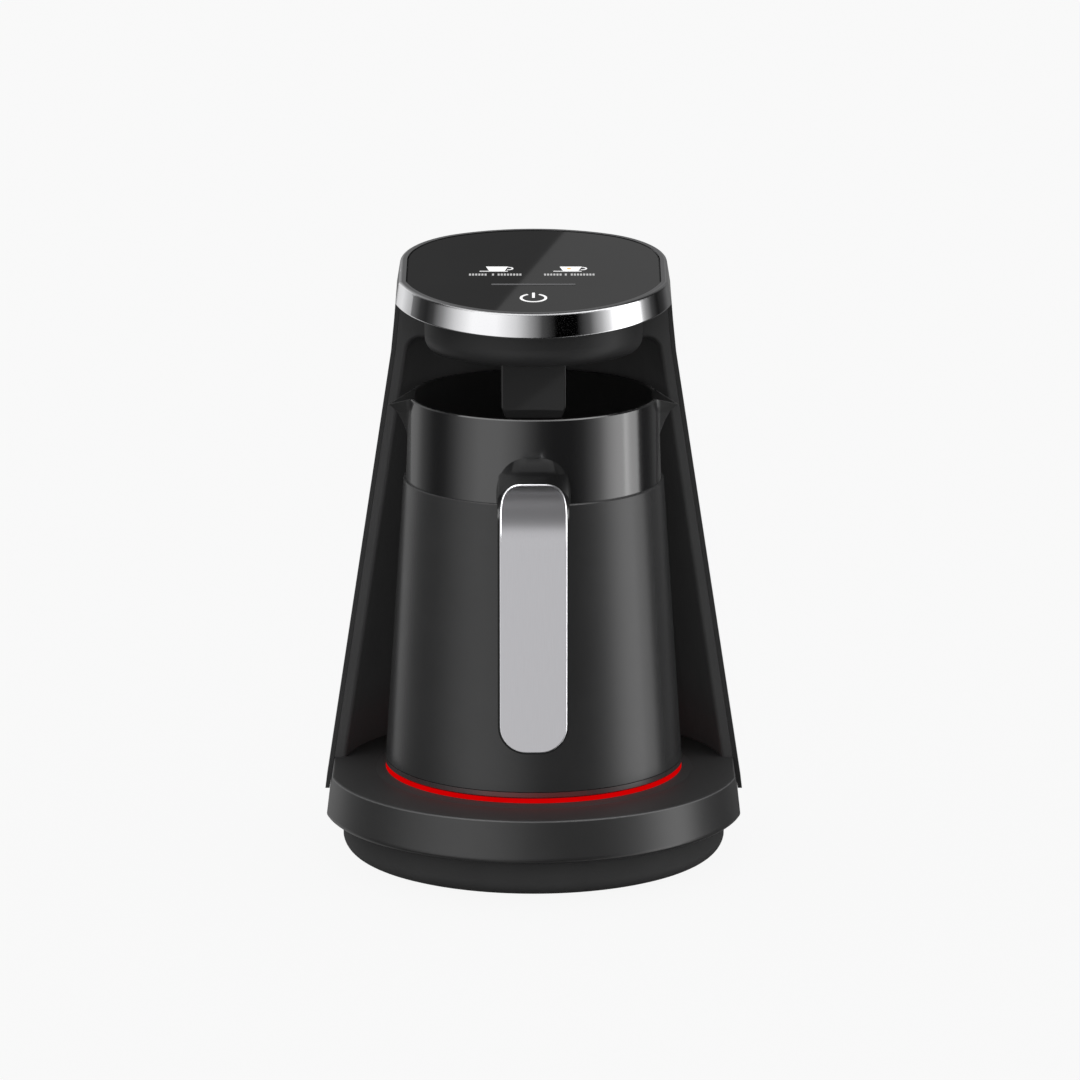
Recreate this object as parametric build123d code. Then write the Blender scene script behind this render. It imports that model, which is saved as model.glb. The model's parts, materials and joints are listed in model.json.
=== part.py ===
"""Electric Turkish coffee maker: round base, tapered tower and tilted touch head over a lift-off pot.

Millimetres. +Z is up, the pot's axis is the Z axis, the pot's handle faces -Y, and the feet stand on Z = 0.
"""

from build123d import *
import math
import os

# ---------------------------------------------------------------- driving sizes
# stack of heights, each from the one below it
foot_stand = 2.3
plinth_height = 14.7
band_height = 16.0
platform_rise = 2.5
pot_height = 141.1
mouth_gap = 17.8
bowl_depth = 28.7
head_tilt = 6.75

# radius of the pot at its foot, which the seat, the recess, the tower and the head stand round
jacket_base_radius = 56.0

band_bottom_z = foot_stand + plinth_height
base_top_z = band_bottom_z + band_height
pot_seat_z = base_top_z + platform_rise
pot_rim_z = pot_seat_z + pot_height
bowl_bottom_z = pot_rim_z + mouth_gap
head_z = bowl_bottom_z + bowl_depth

# clearances
slip = 0.15
snug = 0.1
pilot_gap = 0.05
running_gap = 0.4

# how far cutting forms reach past the walls that they cut
cut_past = 5.0

# base: plinth and cover
plinth_side_inset = 6.2
plinth_front_bulge = 0.2
plinth_back_inset = 7.0
plinth_wall = 2.4
plinth_floor = 2.4
plinth_edge_round = 6.0
shelf_thickness = 2.0
shelf_recess = 0.4
band_front_bulge = 1.6
cover_wall = 2.4
cover_plate = 2.5
cover_top_round = 0.8
cover_bottom_round = 2.0
seat_apron_rise = 0.9
seat_apron_run = 4.0
platform_wall = 2.5
platform_opening = 21.2

# light ring round the pot's seat
ring_inset = 0.2
ring_width = 3.0
ring_gap = 0.4
ring_height = 2.3
ring_groove = 1.2
led_count = 12
led_start_angle = 15.0
led_size = (2.8, 2.8, 0.8)
led_window_radius = 2.2
led_board_width = 11.0
board_thickness = 1.6

# tower profile: height, how far side, back and back arc lie outside the pot's base radius, corner radius
shell_lap = 3.8
tower_profile = (
    (band_bottom_z + shell_lap, 23.2, 36.0, 45.0, 48.0),
    (head_z - 33.1, -2.6, 1.5, 14.0, 38.0),
    (head_z - 20.1, -3.9, -0.4, 13.0, 37.0),
    (head_z + 0.9, -5.6, -1.8, 12.5, 36.0),
)
tower_front_y = 12.8
shell_wall = 1.6
liner_wall = 2.0
recess_floor_flange = 4.85
recess_top_flange = 4.0
recess_roof = 0.9
recess_corner_round = 5.0
recess_edge_round = 1.5

# head: glass, chrome band and housing
glass_side_inset = 5.0
glass_front_bulge = 1.5
glass_front_centre_y = -0.6
glass_back_inset = 4.7
glass_back_radius = 64.9
glass_corner_radius = 33.9
glass_thickness = 3.0
glass_edge_round = 0.5
chrome_lip = 2.6
chrome_height = 8.4
chrome_flare = 1.4
chrome_top_round = 1.2
chrome_bottom_round = 0.4
chrome_rake = 1.0
chrome_stand = 0.2
head_plate = 2.0
head_rim_wall = 1.8
head_wall = 2.2
bowl_side_inset = 6.8
bowl_front_bulge = 2.7
bowl_edge_round = 7.5

# sensor arm under the bowl
arm_width = 23.8
arm_thickness = 6.0
arm_inset = 6.0
arm_dip = 1.5
arm_chamfer = (1.5, 4.0)
arm_corner_round = 1.2
arm_edge_round = 0.7
arm_root_height = 12.0
arm_tab_width = 12.0
arm_tab_thickness = 2.4
arm_tab_height = 8.0
lens_radius = 1.9
lens_depth = 1.6

# pot: vessel, jacket and base
jacket_draft = 0.0667
pot_cover_height = 2.3
collar_height = 31.4
jacket_wall = 2.0
jacket_top_round = 0.5
collar_step = 1.0
collar_taper = 1.1
rim_wall = 1.5
rim_chamfer = 0.4
vessel_floor_rise = 24.5
vessel_floor = 1.4
vessel_wall = 1.2
vessel_gap = 1.0
vessel_floor_round = 5.0
neck_step = 3.0

# two pouring beaks on the rim
beak_half_span = 14.0
beak_wall = 1.2
beak_channel_half = 0.6
# how far the channel stands back from the beak's outside, in walls: along the ridge and round the collar
beak_channel_front = 1.4
beak_channel_back = 0.2
beak_channel_rise = 2.0
beak_root_depth = 4.0
beak_tip_half = 0.9
beak_tip_length = 0.5
# where the concave flank is at its middle: share of the way out, and share of the half span
beak_waist = (0.55, 0.34)
beak_levels = (
    # height below the rim, ridge reach past the collar wall, share of the half span
    (0.0, 12.0, 1.0),
    (3.9, 7.3, 0.9),
    (6.4, 4.2, 0.74),
    (9.8, 2.2, 0.56),
    (14.2, 0.3, 0.36),
    (18.5, -0.8, 0.18),
)

# heater and coupling under the vessel
heater_radius = 44.0
heater_thickness = 3.0
element_radius = 32.0
element_tube_radius = 3.4
element_arc = 320.0
element_leg_angle = 6.0
element_leg_radius = 1.5
element_leg_length = 6.0
coupler_radius = 22.0
coupler_wall = 2.0
coupler_roof_rise = 12.0
coupler_roof = 3.0
coupler_seat_gap = 1.0
coupler_neck_radius = 12.0
post_radius = 7.4
post_rise = 10.5
post_round = 1.2
contact_ring_rises = (3.5, 7.5)
contact_ring_height = 1.8
contact_ring_depth = 0.8
earth_pin_radius = 2.0
earth_pin_height = 3.0
coupler_plate_radius = 24.0
coupler_plate = 2.0
coupler_disc_drop = 0.6
coupler_groove_depth = 1.2
coupler_groove_rim = 3.0
coupler_groove_hub = 4.0
earth_socket_depth = 8.0
earth_pin_drop = 4.0
sensor_radius = 4.0
sensor_height = 4.0
sensor_offset = 20.0
fuse_size = (5.0, 14.0, 4.0)
fuse_offset = 40.0
pot_cover_thickness = 2.2
pot_cover_lip = 4.0
pot_cover_lip_wall = 1.6
pot_cover_chamfer = 0.6
seam_chamfer = 0.3
pot_screw_inset = 9.0
pot_screw_start_angle = 30.0
pot_boss_radius = 3.6
pot_boss_rise = 14.5
pot_boss_gap = 0.4
pot_boss_web = 1.2

# handle
handle_reach = 36.0
handle_width = 25.8
handle_depth = 10.2
handle_top_drop = 17.6
handle_length = 96.8
handle_bend = 20.0
handle_end_round = 10.5
handle_edge_round = 2.6
handle_top_flat = 9.1
handle_corner_drop = 3.5
neck_root_depth = 7.7
saddle_width = 28.0
saddle_rise = 5.8
saddle_height = 28.0
saddle_corner_drop = 17.0
saddle_wall_depth = 3.7
saddle_reach = 11.8
saddle_inset = 0.8
saddle_stations = (0.0, 0.25, 0.55, 1.0)
insert_border = 0.65
insert_thickness = 1.2
insert_stand = 0.5
insert_top_angle = 6.5
insert_corner_angle = 25.0
insert_corner_length = 16.0
insert_edge_chamfer = 0.4
bracket_size = (18.0, 3.0, 8.0)
bracket_drop = 11.5

# fasteners and small parts
foot_radius = 7.0
foot_recess = 1.0
foot_circle = 50.0
foot_start_angle = 45.0
foot_chamfer = 0.5
screw_head_radius = 2.7
screw_head_height = 1.2
screw_shank_radius = 1.4
screw_length = 9.0
base_post_radius = 4.0
base_post_circle = 38.0
base_post_start_angle = 0.0
tower_boss_radius = 4.0
tower_boss_height = 16.0
# how far each boss lies outside the pot's base radius, and its angle from +X
tower_bosses = ((19.5, 30.0), (19.5, 54.6))

# electronics in the base and the head
power_board_size = (62.0, 26.0)
power_board_y = 57.0
power_board_rise = 7.3
standoff_radius = 3.0
standoff_inset = 4.0
board_screw_tip_gap = 1.0
relay_size = (16.0, 19.0, 12.0)
relay_offset = 12.0
transformer_size = (16.0, 14.0, 13.0)
transformer_offset = 12.0
touch_board_inset = 0.4
buzzer_radius = 6.0
buzzer_height = 4.5
buzzer_place = (20.0, -12.0)
sensor_board_size = (20.0, 16.0)
sensor_board_y = -20.0

# mains cord gland at the back
gland_bore_radius = 3.3
gland_neck_radius = 5.5
gland_flange_radius = 8.0
gland_rise = 13.0
gland_stand = 2.4
gland_length = 12.0
gland_flange_depth = 7.2

far = 400.0

# ---------------------------------------------------------------- sizes that follow from them
tower_sections = [
    (z, *(jacket_base_radius + outside for outside in (side, back, back_arc)), corner)
    for z, side, back, back_arc, corner in tower_profile
]
pot_screw_radius = jacket_base_radius - pot_screw_inset
jacket_bottom_z = pot_seat_z + pot_cover_height
jacket_top_z = pot_rim_z - collar_height
vessel_floor_z = pot_seat_z + vessel_floor_rise
coupler_roof_z = pot_seat_z + coupler_roof_rise
post_top_z = pot_seat_z + post_rise
contact_ring_z = [pot_seat_z + rise for rise in contact_ring_rises]
pot_boss_top_z = pot_seat_z + pot_boss_rise
collar_seam_radius = jacket_base_radius - jacket_draft * (jacket_top_z - pot_seat_z) - collar_step
rim_radius = collar_seam_radius - collar_taper
rim_inner_radius = rim_radius - rim_wall
ring_radius = jacket_base_radius - ring_inset
ring_middle_radius = ring_radius - ring_width / 2
platform_radius = ring_radius - ring_width - ring_gap

handle_front_y = -jacket_base_radius - handle_reach
handle_top_z = pot_rim_z - handle_top_drop
handle_bottom_z = handle_top_z - handle_length
neck_root_y = -collar_seam_radius + neck_root_depth
saddle_top_z = handle_top_z + saddle_rise
saddle_bottom_z = saddle_top_z - saddle_height
saddle_wall_y = -collar_seam_radius + saddle_wall_depth
saddle_front_y = -collar_seam_radius - saddle_reach
handle_corner_run = (handle_width - handle_top_flat) / 2
bracket_z = handle_top_z - bracket_drop

arm_bottom_z = pot_rim_z - arm_dip
gland_z = base_top_z + gland_rise
recess_top_z = bowl_bottom_z + recess_roof
neck_section = tower_sections[2]
glass_half_width = neck_section[1] - glass_side_inset
glass_front_radius = glass_half_width + glass_front_bulge
glass_back_y = neck_section[2] - glass_back_inset
bowl_half_width = glass_half_width - bowl_side_inset
bowl_front_radius = bowl_half_width + bowl_front_bulge
arm_front_y = -bowl_front_radius + arm_inset


# ---------------------------------------------------------------- shared shapes
def arc_outline(half_width, front_radius, front_centre_y, back_y, back_radius, corner_radius):
    """Plan shape: round front, two straight flanks, two tight corners and a flatter round back."""
    flank_start_y = front_centre_y - math.sqrt(front_radius**2 - half_width**2)
    back_centre_y = back_y - back_radius
    corner_x = half_width - corner_radius
    corner_y = back_centre_y + math.sqrt((back_radius - corner_radius) ** 2 - corner_x**2)
    turn = math.atan2(corner_y - back_centre_y, corner_x)

    def corner_point(angle, side):
        return (
            side * (corner_x + corner_radius * math.cos(angle)),
            corner_y + corner_radius * math.sin(angle),
        )

    right = [corner_point(a, 1) for a in (0.0, turn / 2, turn)]
    left = [corner_point(a, -1) for a in (turn, turn / 2, 0.0)]
    front_right = (half_width, flank_start_y)
    front_left = (-half_width, flank_start_y)
    return make_face(
        [
            Line(front_right, right[0]),
            ThreePointArc(*right),
            ThreePointArc(right[2], (0, back_y), left[0]),
            ThreePointArc(*left),
            Line(left[2], front_left),
            ThreePointArc(front_left, (0, front_centre_y - front_radius), front_right),
        ]
    )


def tower_outline(half_width, front_y, back_y, back_radius, corner_radius):
    """Plan shape of the tower: flat front, straight flanks, tight corners and a flatter round back."""
    back_centre_y = back_y - back_radius
    corner_x = half_width - corner_radius
    corner_y = back_centre_y + math.sqrt((back_radius - corner_radius) ** 2 - corner_x**2)
    turn = math.atan2(corner_y - back_centre_y, corner_x)

    def corner_point(angle, side):
        return (
            side * (corner_x + corner_radius * math.cos(angle)),
            corner_y + corner_radius * math.sin(angle),
        )

    right = [corner_point(a, 1) for a in (0.0, turn / 2, turn)]
    left = [corner_point(a, -1) for a in (turn, turn / 2, 0.0)]
    return make_face(
        [
            Line((half_width, front_y), right[0]),
            ThreePointArc(*right),
            ThreePointArc(right[2], (0, back_y), left[0]),
            ThreePointArc(*left),
            Line(left[2], (-half_width, front_y)),
            Line((-half_width, front_y), (half_width, front_y)),
        ]
    )


def at_height(z):
    return Plane.XY.offset(z)


def head_plane(drop):
    """Plane parallel to the tilted touch panel, a given depth below it."""
    tilt = math.radians(head_tilt)
    panel = Plane(origin=(0, 0, head_z), x_dir=(1, 0, 0), z_dir=(0, -math.sin(tilt), math.cos(tilt)))
    return panel.offset(-drop)


def head_axis():
    """Direction square to the tilted touch panel."""
    return Axis((0, 0, head_z), head_plane(0.0).z_dir)


def block(x, y, z):
    """Box from three (low, high) pairs."""
    size = [high - low for low, high in (x, y, z)]
    centre = [(high + low) / 2 for low, high in (x, y, z)]
    return Pos(*centre) * Box(*size)


def rod(x, y, z_low, z_high, radius):
    return Pos(x, y, (z_low + z_high) / 2) * Cylinder(radius, z_high - z_low)


def turned(points):
    """Solid of revolution about the pot's axis from (radius, height) points."""
    return revolve(Plane.XZ * make_face(Polyline(*points, close=True)), Axis.Z)


def above(plane):
    return plane * Box(far, far, far, align=(Align.CENTER, Align.CENTER, Align.MIN))


def polar(radius, degrees):
    angle = math.radians(degrees)
    return (radius * math.cos(angle), radius * math.sin(angle))


def around(count, radius, start):
    """Points evenly spaced on a circle round the pot's axis, the first one at start degrees from +X."""
    return [polar(radius, start + 360.0 * i / count) for i in range(count)]


def tower_boss_places():
    """Tower bosses on both sides of the plane X = 0."""
    right = [polar(jacket_base_radius + outside, degrees) for outside, degrees in tower_bosses]
    return [(side * x, y) for x, y in right for side in (-1, 1)]


def screw_up(x, y, seat_z):
    """Pan-head screw whose head sits below seat_z and whose shank points up."""
    head = rod(x, y, seat_z - screw_head_height, seat_z, screw_head_radius)
    return head + rod(x, y, seat_z, seat_z + screw_length, screw_shank_radius)


def pilot_hole(x, y, z_low, z_high):
    return rod(x, y, z_low, z_high, screw_shank_radius + pilot_gap)


# ---------------------------------------------------------------- tower form
low_section, straight_section = tower_sections[0], tower_sections[1]
side_slope = (low_section[1] - straight_section[1]) / (straight_section[0] - low_section[0])


def taper_at(z):
    """Tower plan sizes on its long straight taper, also carried on below the shell."""
    share = (z - low_section[0]) / (straight_section[0] - low_section[0])
    return [a + (b - a) * share for a, b in zip(low_section[1:], straight_section[1:])]


shell_space = shell_wall + slip
band_top_radius = taper_at(base_top_z)[0] - shell_space + band_front_bulge
plinth_side = taper_at(band_bottom_z)[0] - shell_space - plinth_side_inset
plinth_radius = plinth_side + plinth_front_bulge
recess_floor_radius = taper_at(base_top_z)[0] - recess_floor_flange
recess_top_radius = taper_at(recess_top_z)[0] - recess_top_flange


def tower_form(inset, front_y):
    """Tapered tower body from the shell's lower edge to above the head, inset by a wall or gap."""
    faces = []
    for z, half_width, back_y, back_radius, corner_radius in tower_sections:
        outline = tower_outline(
            half_width - inset, front_y, back_y - inset, back_radius - inset, corner_radius - inset
        )
        faces.append(at_height(z) * outline)
    pieces = [loft([a, b], ruled=True) for a, b in zip(faces, faces[1:])]
    form = pieces[0]
    for piece in pieces[1:]:
        form += piece
    return form


def base_section(z, inset, front_radius_at_top):
    half_width, back_y, back_radius, corner_radius = taper_at(z)
    flare = side_slope * (base_top_z - z)
    return at_height(z) * arc_outline(
        half_width - inset,
        front_radius_at_top + flare,
        0.0,
        back_y - inset,
        back_radius - inset,
        corner_radius - inset,
    )


def base_form(z_low, z_high, inset):
    """Flared base body between two heights, inset from the band's outer face."""
    low = base_section(z_low, shell_space + inset, band_top_radius - inset)
    high = base_section(z_high, shell_space + inset, band_top_radius - inset)
    return loft([low, high], ruled=True)


# ---------------------------------------------------------------- base
plinth_top_z = band_bottom_z + shelf_recess
plinth_floor_top_z = foot_stand + plinth_floor
power_board_z = plinth_floor_top_z + power_board_rise
shelf_top_z = plinth_top_z + shelf_thickness
cover_under_z = base_top_z - cover_plate
platform_under_z = pot_seat_z - platform_wall
foot_places = around(4, foot_circle, foot_start_angle)
post_places = around(4, base_post_circle, base_post_start_angle)
pot_screw_places = around(3, pot_screw_radius, pot_screw_start_angle)
led_places = around(led_count, ring_middle_radius, led_start_angle)


def plinth_outline(inset):
    half_width, back_y, back_radius, corner_radius = taper_at(band_bottom_z)
    step = shell_space + plinth_back_inset + inset
    return arc_outline(
        plinth_side - inset,
        plinth_radius - inset,
        0.0,
        back_y - step,
        back_radius - step,
        corner_radius - step,
    )


def standoff_places():
    half_x, half_y = (size / 2 - standoff_inset for size in power_board_size)
    return [(sx * half_x, power_board_y + sy * half_y) for sx in (-1, 1) for sy in (-1, 1)]


def make_base_plinth():
    outer = extrude(at_height(foot_stand) * plinth_outline(0.0), plinth_top_z - foot_stand)
    outer = fillet(outer.edges().group_by(Axis.Z)[0], plinth_edge_round)
    inner = extrude(at_height(plinth_floor_top_z) * plinth_outline(plinth_wall), far)
    inner_low = inner.edges().group_by(Axis.Z)[0]
    inner = fillet(inner_low, plinth_edge_round - plinth_wall)
    shelf = base_form(plinth_top_z, shelf_top_z, cover_wall + slip)
    body = outer + shelf - inner
    for x, y in foot_places:
        body -= rod(x, y, foot_stand, foot_stand + foot_recess, foot_radius + snug)
    for x, y in post_places:
        body -= rod(x, y, foot_stand, foot_stand + screw_head_height, screw_head_radius + snug)
        body -= pilot_hole(x, y, foot_stand, plinth_floor_top_z)
    for x, y in standoff_places():
        body += rod(x, y, plinth_floor_top_z, power_board_z, standoff_radius)
        body -= pilot_hole(x, y, plinth_floor_top_z, power_board_z)
    return body


def make_base_cover():
    outer = base_form(band_bottom_z, base_top_z, 0.0)
    outer = fillet(outer.edges().group_by(Axis.Z)[-1], cover_top_round)
    outer = fillet(outer.edges().group_by(Axis.Z)[0], cover_bottom_round)
    inner = base_form(band_bottom_z, cover_under_z, cover_wall)
    body = outer - inner
    body += rod(0, 0, cover_under_z, pot_seat_z, platform_radius)
    body += turned(
        [
            (platform_radius, cover_under_z),
            (ring_radius + seat_apron_run, cover_under_z),
            (ring_radius + seat_apron_run, base_top_z),
            (ring_radius, base_top_z + seat_apron_rise),
            (platform_radius, base_top_z + seat_apron_rise),
        ]
    )
    body -= rod(0, 0, cover_under_z, platform_under_z, platform_radius - platform_wall)
    body -= rod(0, 0, platform_under_z, pot_seat_z, platform_opening)
    groove = rod(0, 0, base_top_z - ring_groove, pot_seat_z, ring_radius + snug)
    body -= groove - rod(0, 0, base_top_z - ring_groove, pot_seat_z, platform_radius)
    for x, y in led_places:
        body -= rod(x, y, cover_under_z, base_top_z, led_window_radius)
    for x, y in post_places:
        body += rod(x, y, plinth_floor_top_z, platform_under_z, base_post_radius)
        body -= pilot_hole(x, y, plinth_floor_top_z, plinth_floor_top_z + screw_length)
    for x, y in tower_boss_places():
        body -= pilot_hole(x, y, cover_under_z, base_top_z)
    return body


def make_light_ring():
    bottom = base_top_z - ring_groove
    top = base_top_z + ring_height
    inner = ring_radius - ring_width
    return turned([(inner, bottom), (ring_radius, bottom), (ring_radius, top), (inner, top)])


def make_led_board():
    half = led_board_width / 2
    high = cover_under_z
    low = high - board_thickness
    inner, outer = ring_middle_radius - half, ring_middle_radius + half
    return turned([(inner, low), (outer, low), (outer, high), (inner, high)])


def make_leds():
    x_size, y_size, z_size = led_size
    chips = []
    for x, y in led_places:
        chips.append(Pos(x, y, cover_under_z + z_size / 2) * Box(x_size, y_size, z_size))
    return chips


def make_rubber_feet():
    feet = []
    for x, y in foot_places:
        foot = rod(x, y, 0.0, foot_stand + foot_recess, foot_radius)
        feet.append(chamfer(foot.edges().group_by(Axis.Z)[0], foot_chamfer))
    return feet


def make_coupler_base():
    plate_top = platform_under_z
    disc_top = pot_seat_z - coupler_disc_drop
    disc_radius = platform_opening - snug
    groove_low = disc_top - coupler_groove_depth
    groove_outer = disc_radius - coupler_groove_rim
    groove_inner = post_radius + coupler_groove_hub
    body = turned(
        [
            (0, plate_top - coupler_plate),
            (coupler_plate_radius, plate_top - coupler_plate),
            (coupler_plate_radius, plate_top),
            (disc_radius, plate_top),
            (disc_radius, disc_top),
            (groove_outer, disc_top),
            (groove_outer, groove_low),
            (groove_inner, groove_low),
            (groove_inner, disc_top),
            (post_radius, disc_top),
            (post_radius, post_top_z - post_round),
            (post_radius - post_round, post_top_z),
            (0, post_top_z),
        ]
    )
    for z in contact_ring_z:
        body -= contact_ring(z)
    body -= rod(0, 0, post_top_z - earth_socket_depth, post_top_z, earth_pin_radius + running_gap)
    return body


def contact_ring(z):
    inner = post_radius - contact_ring_depth
    top = z + contact_ring_height
    return turned([(inner, z), (post_radius, z), (post_radius, top), (inner, top)])


def make_power_board():
    board = block(
        (-power_board_size[0] / 2, power_board_size[0] / 2),
        (power_board_y - power_board_size[1] / 2, power_board_y + power_board_size[1] / 2),
        (power_board_z, power_board_z + board_thickness),
    )
    for x, y in standoff_places():
        board -= pilot_hole(x, y, power_board_z, power_board_z + board_thickness)
    return board


def on_board(x, y, size):
    """Block standing on the power board."""
    low = power_board_z + board_thickness
    half_x, half_y = size[0] / 2, size[1] / 2
    return block((x - half_x, x + half_x), (y - half_y, y + half_y), (low, low + size[2]))


def make_board_screws():
    screws = []
    seat = power_board_z + board_thickness
    for x, y in standoff_places():
        head = rod(x, y, seat, seat + screw_head_height, screw_head_radius)
        screws.append(head + rod(x, y, plinth_floor_top_z + board_screw_tip_gap, seat, screw_shank_radius))
    return screws


# ---------------------------------------------------------------- tower
def recess_radius(z):
    slope = (recess_floor_radius - recess_top_radius) / (recess_top_z - base_top_z)
    return recess_floor_radius - slope * (z - base_top_z)


def recess_cutter(grow):
    """Conical recess the pot stands in, round the pot's axis, carried on below the base's top."""
    low, top = band_bottom_z, recess_top_z + grow
    cone = turned([(0, low), (recess_radius(low) + grow, low), (recess_radius(top) + grow, top), (0, top)])
    return fillet(cone.edges().group_by(Axis.Z)[-1], recess_corner_round)


def make_rear_shell():
    outer = tower_form(0.0, tower_front_y)
    inner = tower_form(shell_wall, tower_front_y - cut_past)
    body = outer - inner
    body -= above(head_plane(chrome_height))
    tip_y = gland_tip_y()
    return body - gland_rod(gland_neck_radius + snug, tip_y - gland_length, tip_y)


def gland_tip_y():
    back_y = taper_at(gland_z)[1]
    return back_y + gland_stand


def gland_rod(radius, inner_y, outer_y):
    """Cylinder along Y at the cord gland."""
    return Pos(0, (inner_y + outer_y) / 2, gland_z) * Rot(90, 0, 0) * Cylinder(radius, outer_y - inner_y)


def recess_mouth_edges(liner):
    """Edges where the conical recess opens through the liner's flat front."""

    def on_recess(point):
        return math.hypot(point.X, point.Y) < recess_radius(point.Z) + slip

    front = [edge for edge in liner.edges() if abs(edge.center().Y - tower_front_y) < slip]
    raised = [edge for edge in front if edge.center().Z > base_top_z + slip]
    return [edge for edge in raised if on_recess(edge @ 0) and on_recess(edge @ 1)]


def make_tower_liner():
    inside = tower_form(shell_wall + snug, tower_front_y)
    inside -= above(head_plane(chrome_height + head_plate))
    inside -= block((-far, far), (-far, far), (0, base_top_z))
    front = block((-far, far), (tower_front_y, tower_front_y + liner_wall), (base_top_z, far))
    wall = recess_cutter(liner_wall) & block((-far, far), (tower_front_y, far), (base_top_z, far))
    body = (inside & (front + wall)) - recess_cutter(0.0)
    body = fillet(recess_mouth_edges(body), recess_edge_round)
    for x, y in tower_boss_places():
        boss = rod(x, y, base_top_z, base_top_z + tower_boss_height, tower_boss_radius)
        body += (boss & inside) - recess_cutter(0.0)
        body -= pilot_hole(x, y, base_top_z, base_top_z + screw_length)
    return body


def make_tower_screws():
    return [screw_up(x, y, cover_under_z) for x, y in tower_boss_places()]


def make_cord_gland():
    tip_y = gland_tip_y()
    flange = gland_rod(gland_flange_radius, tip_y - gland_flange_depth, tip_y) - tower_form(0.0, tower_front_y)
    neck = gland_rod(gland_neck_radius, tip_y - gland_length, tip_y)
    return flange + neck - gland_rod(gland_bore_radius, tip_y - gland_length, tip_y)


# ---------------------------------------------------------------- head
def glass_outline(grow):
    return arc_outline(
        glass_half_width + grow,
        glass_front_radius + grow,
        glass_front_centre_y,
        glass_back_y + grow,
        glass_back_radius + grow,
        glass_corner_radius + grow,
    )


def head_slab(outline, drop_low, drop_high):
    """Plate parallel to the touch panel between two depths below it."""
    return extrude(head_plane(drop_low) * outline, drop_low - drop_high)


def make_glass_panel():
    glass = head_slab(glass_outline(0.0), glass_thickness, 0.0)
    return chamfer(glass.faces().sort_by(Axis.Z)[-1].edges(), glass_edge_round)


def make_chrome_ring():
    low = head_plane(chrome_height) * Pos(0, -chrome_rake, 0) * glass_outline(chrome_lip + chrome_flare)
    high = head_plane(-chrome_stand) * glass_outline(chrome_lip)
    ring = loft([low, high], ruled=True)
    ring = fillet(ring.edges().group_by(head_axis())[-1], chrome_top_round)
    ring = fillet(ring.edges().group_by(head_axis())[0], chrome_bottom_round)
    return ring - head_slab(glass_outline(snug), 2 * chrome_height, -chrome_height)


def bowl_outline(inset):
    front_radius = bowl_front_radius - inset
    half_width = bowl_half_width - inset
    start_y = -math.sqrt(front_radius**2 - half_width**2)
    back_y = tower_front_y - inset
    return make_face(
        [
            Line((half_width, start_y), (half_width, back_y)),
            Line((half_width, back_y), (-half_width, back_y)),
            Line((-half_width, back_y), (-half_width, start_y)),
            ThreePointArc((-half_width, start_y), (0, -front_radius), (half_width, start_y)),
        ]
    )


def bowl_form(inset):
    """Round-bottomed bowl under the head, from its wall's outer or inner face up past the head."""
    body = extrude(at_height(bowl_bottom_z + inset) * bowl_outline(inset), bowl_depth + 4 * cut_past)
    low = body.edges().group_by(Axis.Z)[0]
    curved = [edge for edge in low if edge.center().Y < tower_front_y - inset - slip]
    return fillet(curved, bowl_edge_round - inset)


def make_head_housing():
    deck_drop = chrome_height + head_plate
    deck = head_slab(glass_outline(-snug), deck_drop, chrome_height)
    rim = head_slab(glass_outline(-snug), deck_drop, glass_thickness)
    rim -= head_slab(glass_outline(-snug - head_rim_wall), chrome_height, glass_thickness - cut_past)
    bowl = bowl_form(0.0) - above(head_plane(deck_drop - head_plate))
    cavity = bowl_form(head_wall) - above(head_plane(0.0))
    body = deck + rim + bowl - cavity
    body -= arm_tab(snug)
    return body


def make_touch_board():
    drop = glass_thickness + board_thickness
    return head_slab(glass_outline(-snug - head_rim_wall - touch_board_inset), drop, glass_thickness)


def make_buzzer():
    x, y = buzzer_place
    drop = glass_thickness + board_thickness
    return head_plane(drop) * Pos(x, y, -buzzer_height / 2) * Cylinder(buzzer_radius, buzzer_height)


def arm_tab(gap):
    back = arm_front_y + arm_thickness
    return block(
        (-arm_tab_width / 2 - gap, arm_tab_width / 2 + gap),
        (back - arm_tab_thickness - gap, back + gap),
        (bowl_bottom_z - cut_past, bowl_bottom_z + arm_tab_height),
    )


def make_sensor_arm():
    half = arm_width / 2
    run, rise = arm_chamfer
    low = arm_bottom_z
    high = bowl_bottom_z + arm_root_height
    front = make_face(
        Polyline(
            (-half + run, low),
            (half - run, low),
            (half, low + rise),
            (half, high),
            (-half, high),
            (-half, low + rise),
            close=True,
        )
    )
    corners = [vertex for vertex in front.vertices() if vertex.Y < low + rise + slip]
    front = fillet(corners, arm_corner_round)
    plate = extrude(Plane.XZ.offset(-arm_front_y) * front, -arm_thickness)
    plate = fillet(plate.faces().sort_by(Axis.Y)[0].edges(), arm_edge_round)
    plate = plate - bowl_form(0.0) + arm_tab(0.0)
    middle_y = arm_front_y + arm_thickness / 2
    return plate - rod(0, middle_y, low, low + lens_depth, lens_radius)


def make_sensor_lens():
    middle_y = arm_front_y + arm_thickness / 2
    return rod(0, middle_y, arm_bottom_z, arm_bottom_z + lens_depth, lens_radius)


def make_sensor_board():
    floor = bowl_bottom_z + head_wall
    return block(
        (-sensor_board_size[0] / 2, sensor_board_size[0] / 2),
        (sensor_board_y - sensor_board_size[1] / 2, sensor_board_y + sensor_board_size[1] / 2),
        (floor, floor + board_thickness),
    )


# ---------------------------------------------------------------- pot
def jacket_radius(z):
    return jacket_base_radius - jacket_draft * (z - pot_seat_z)


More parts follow.
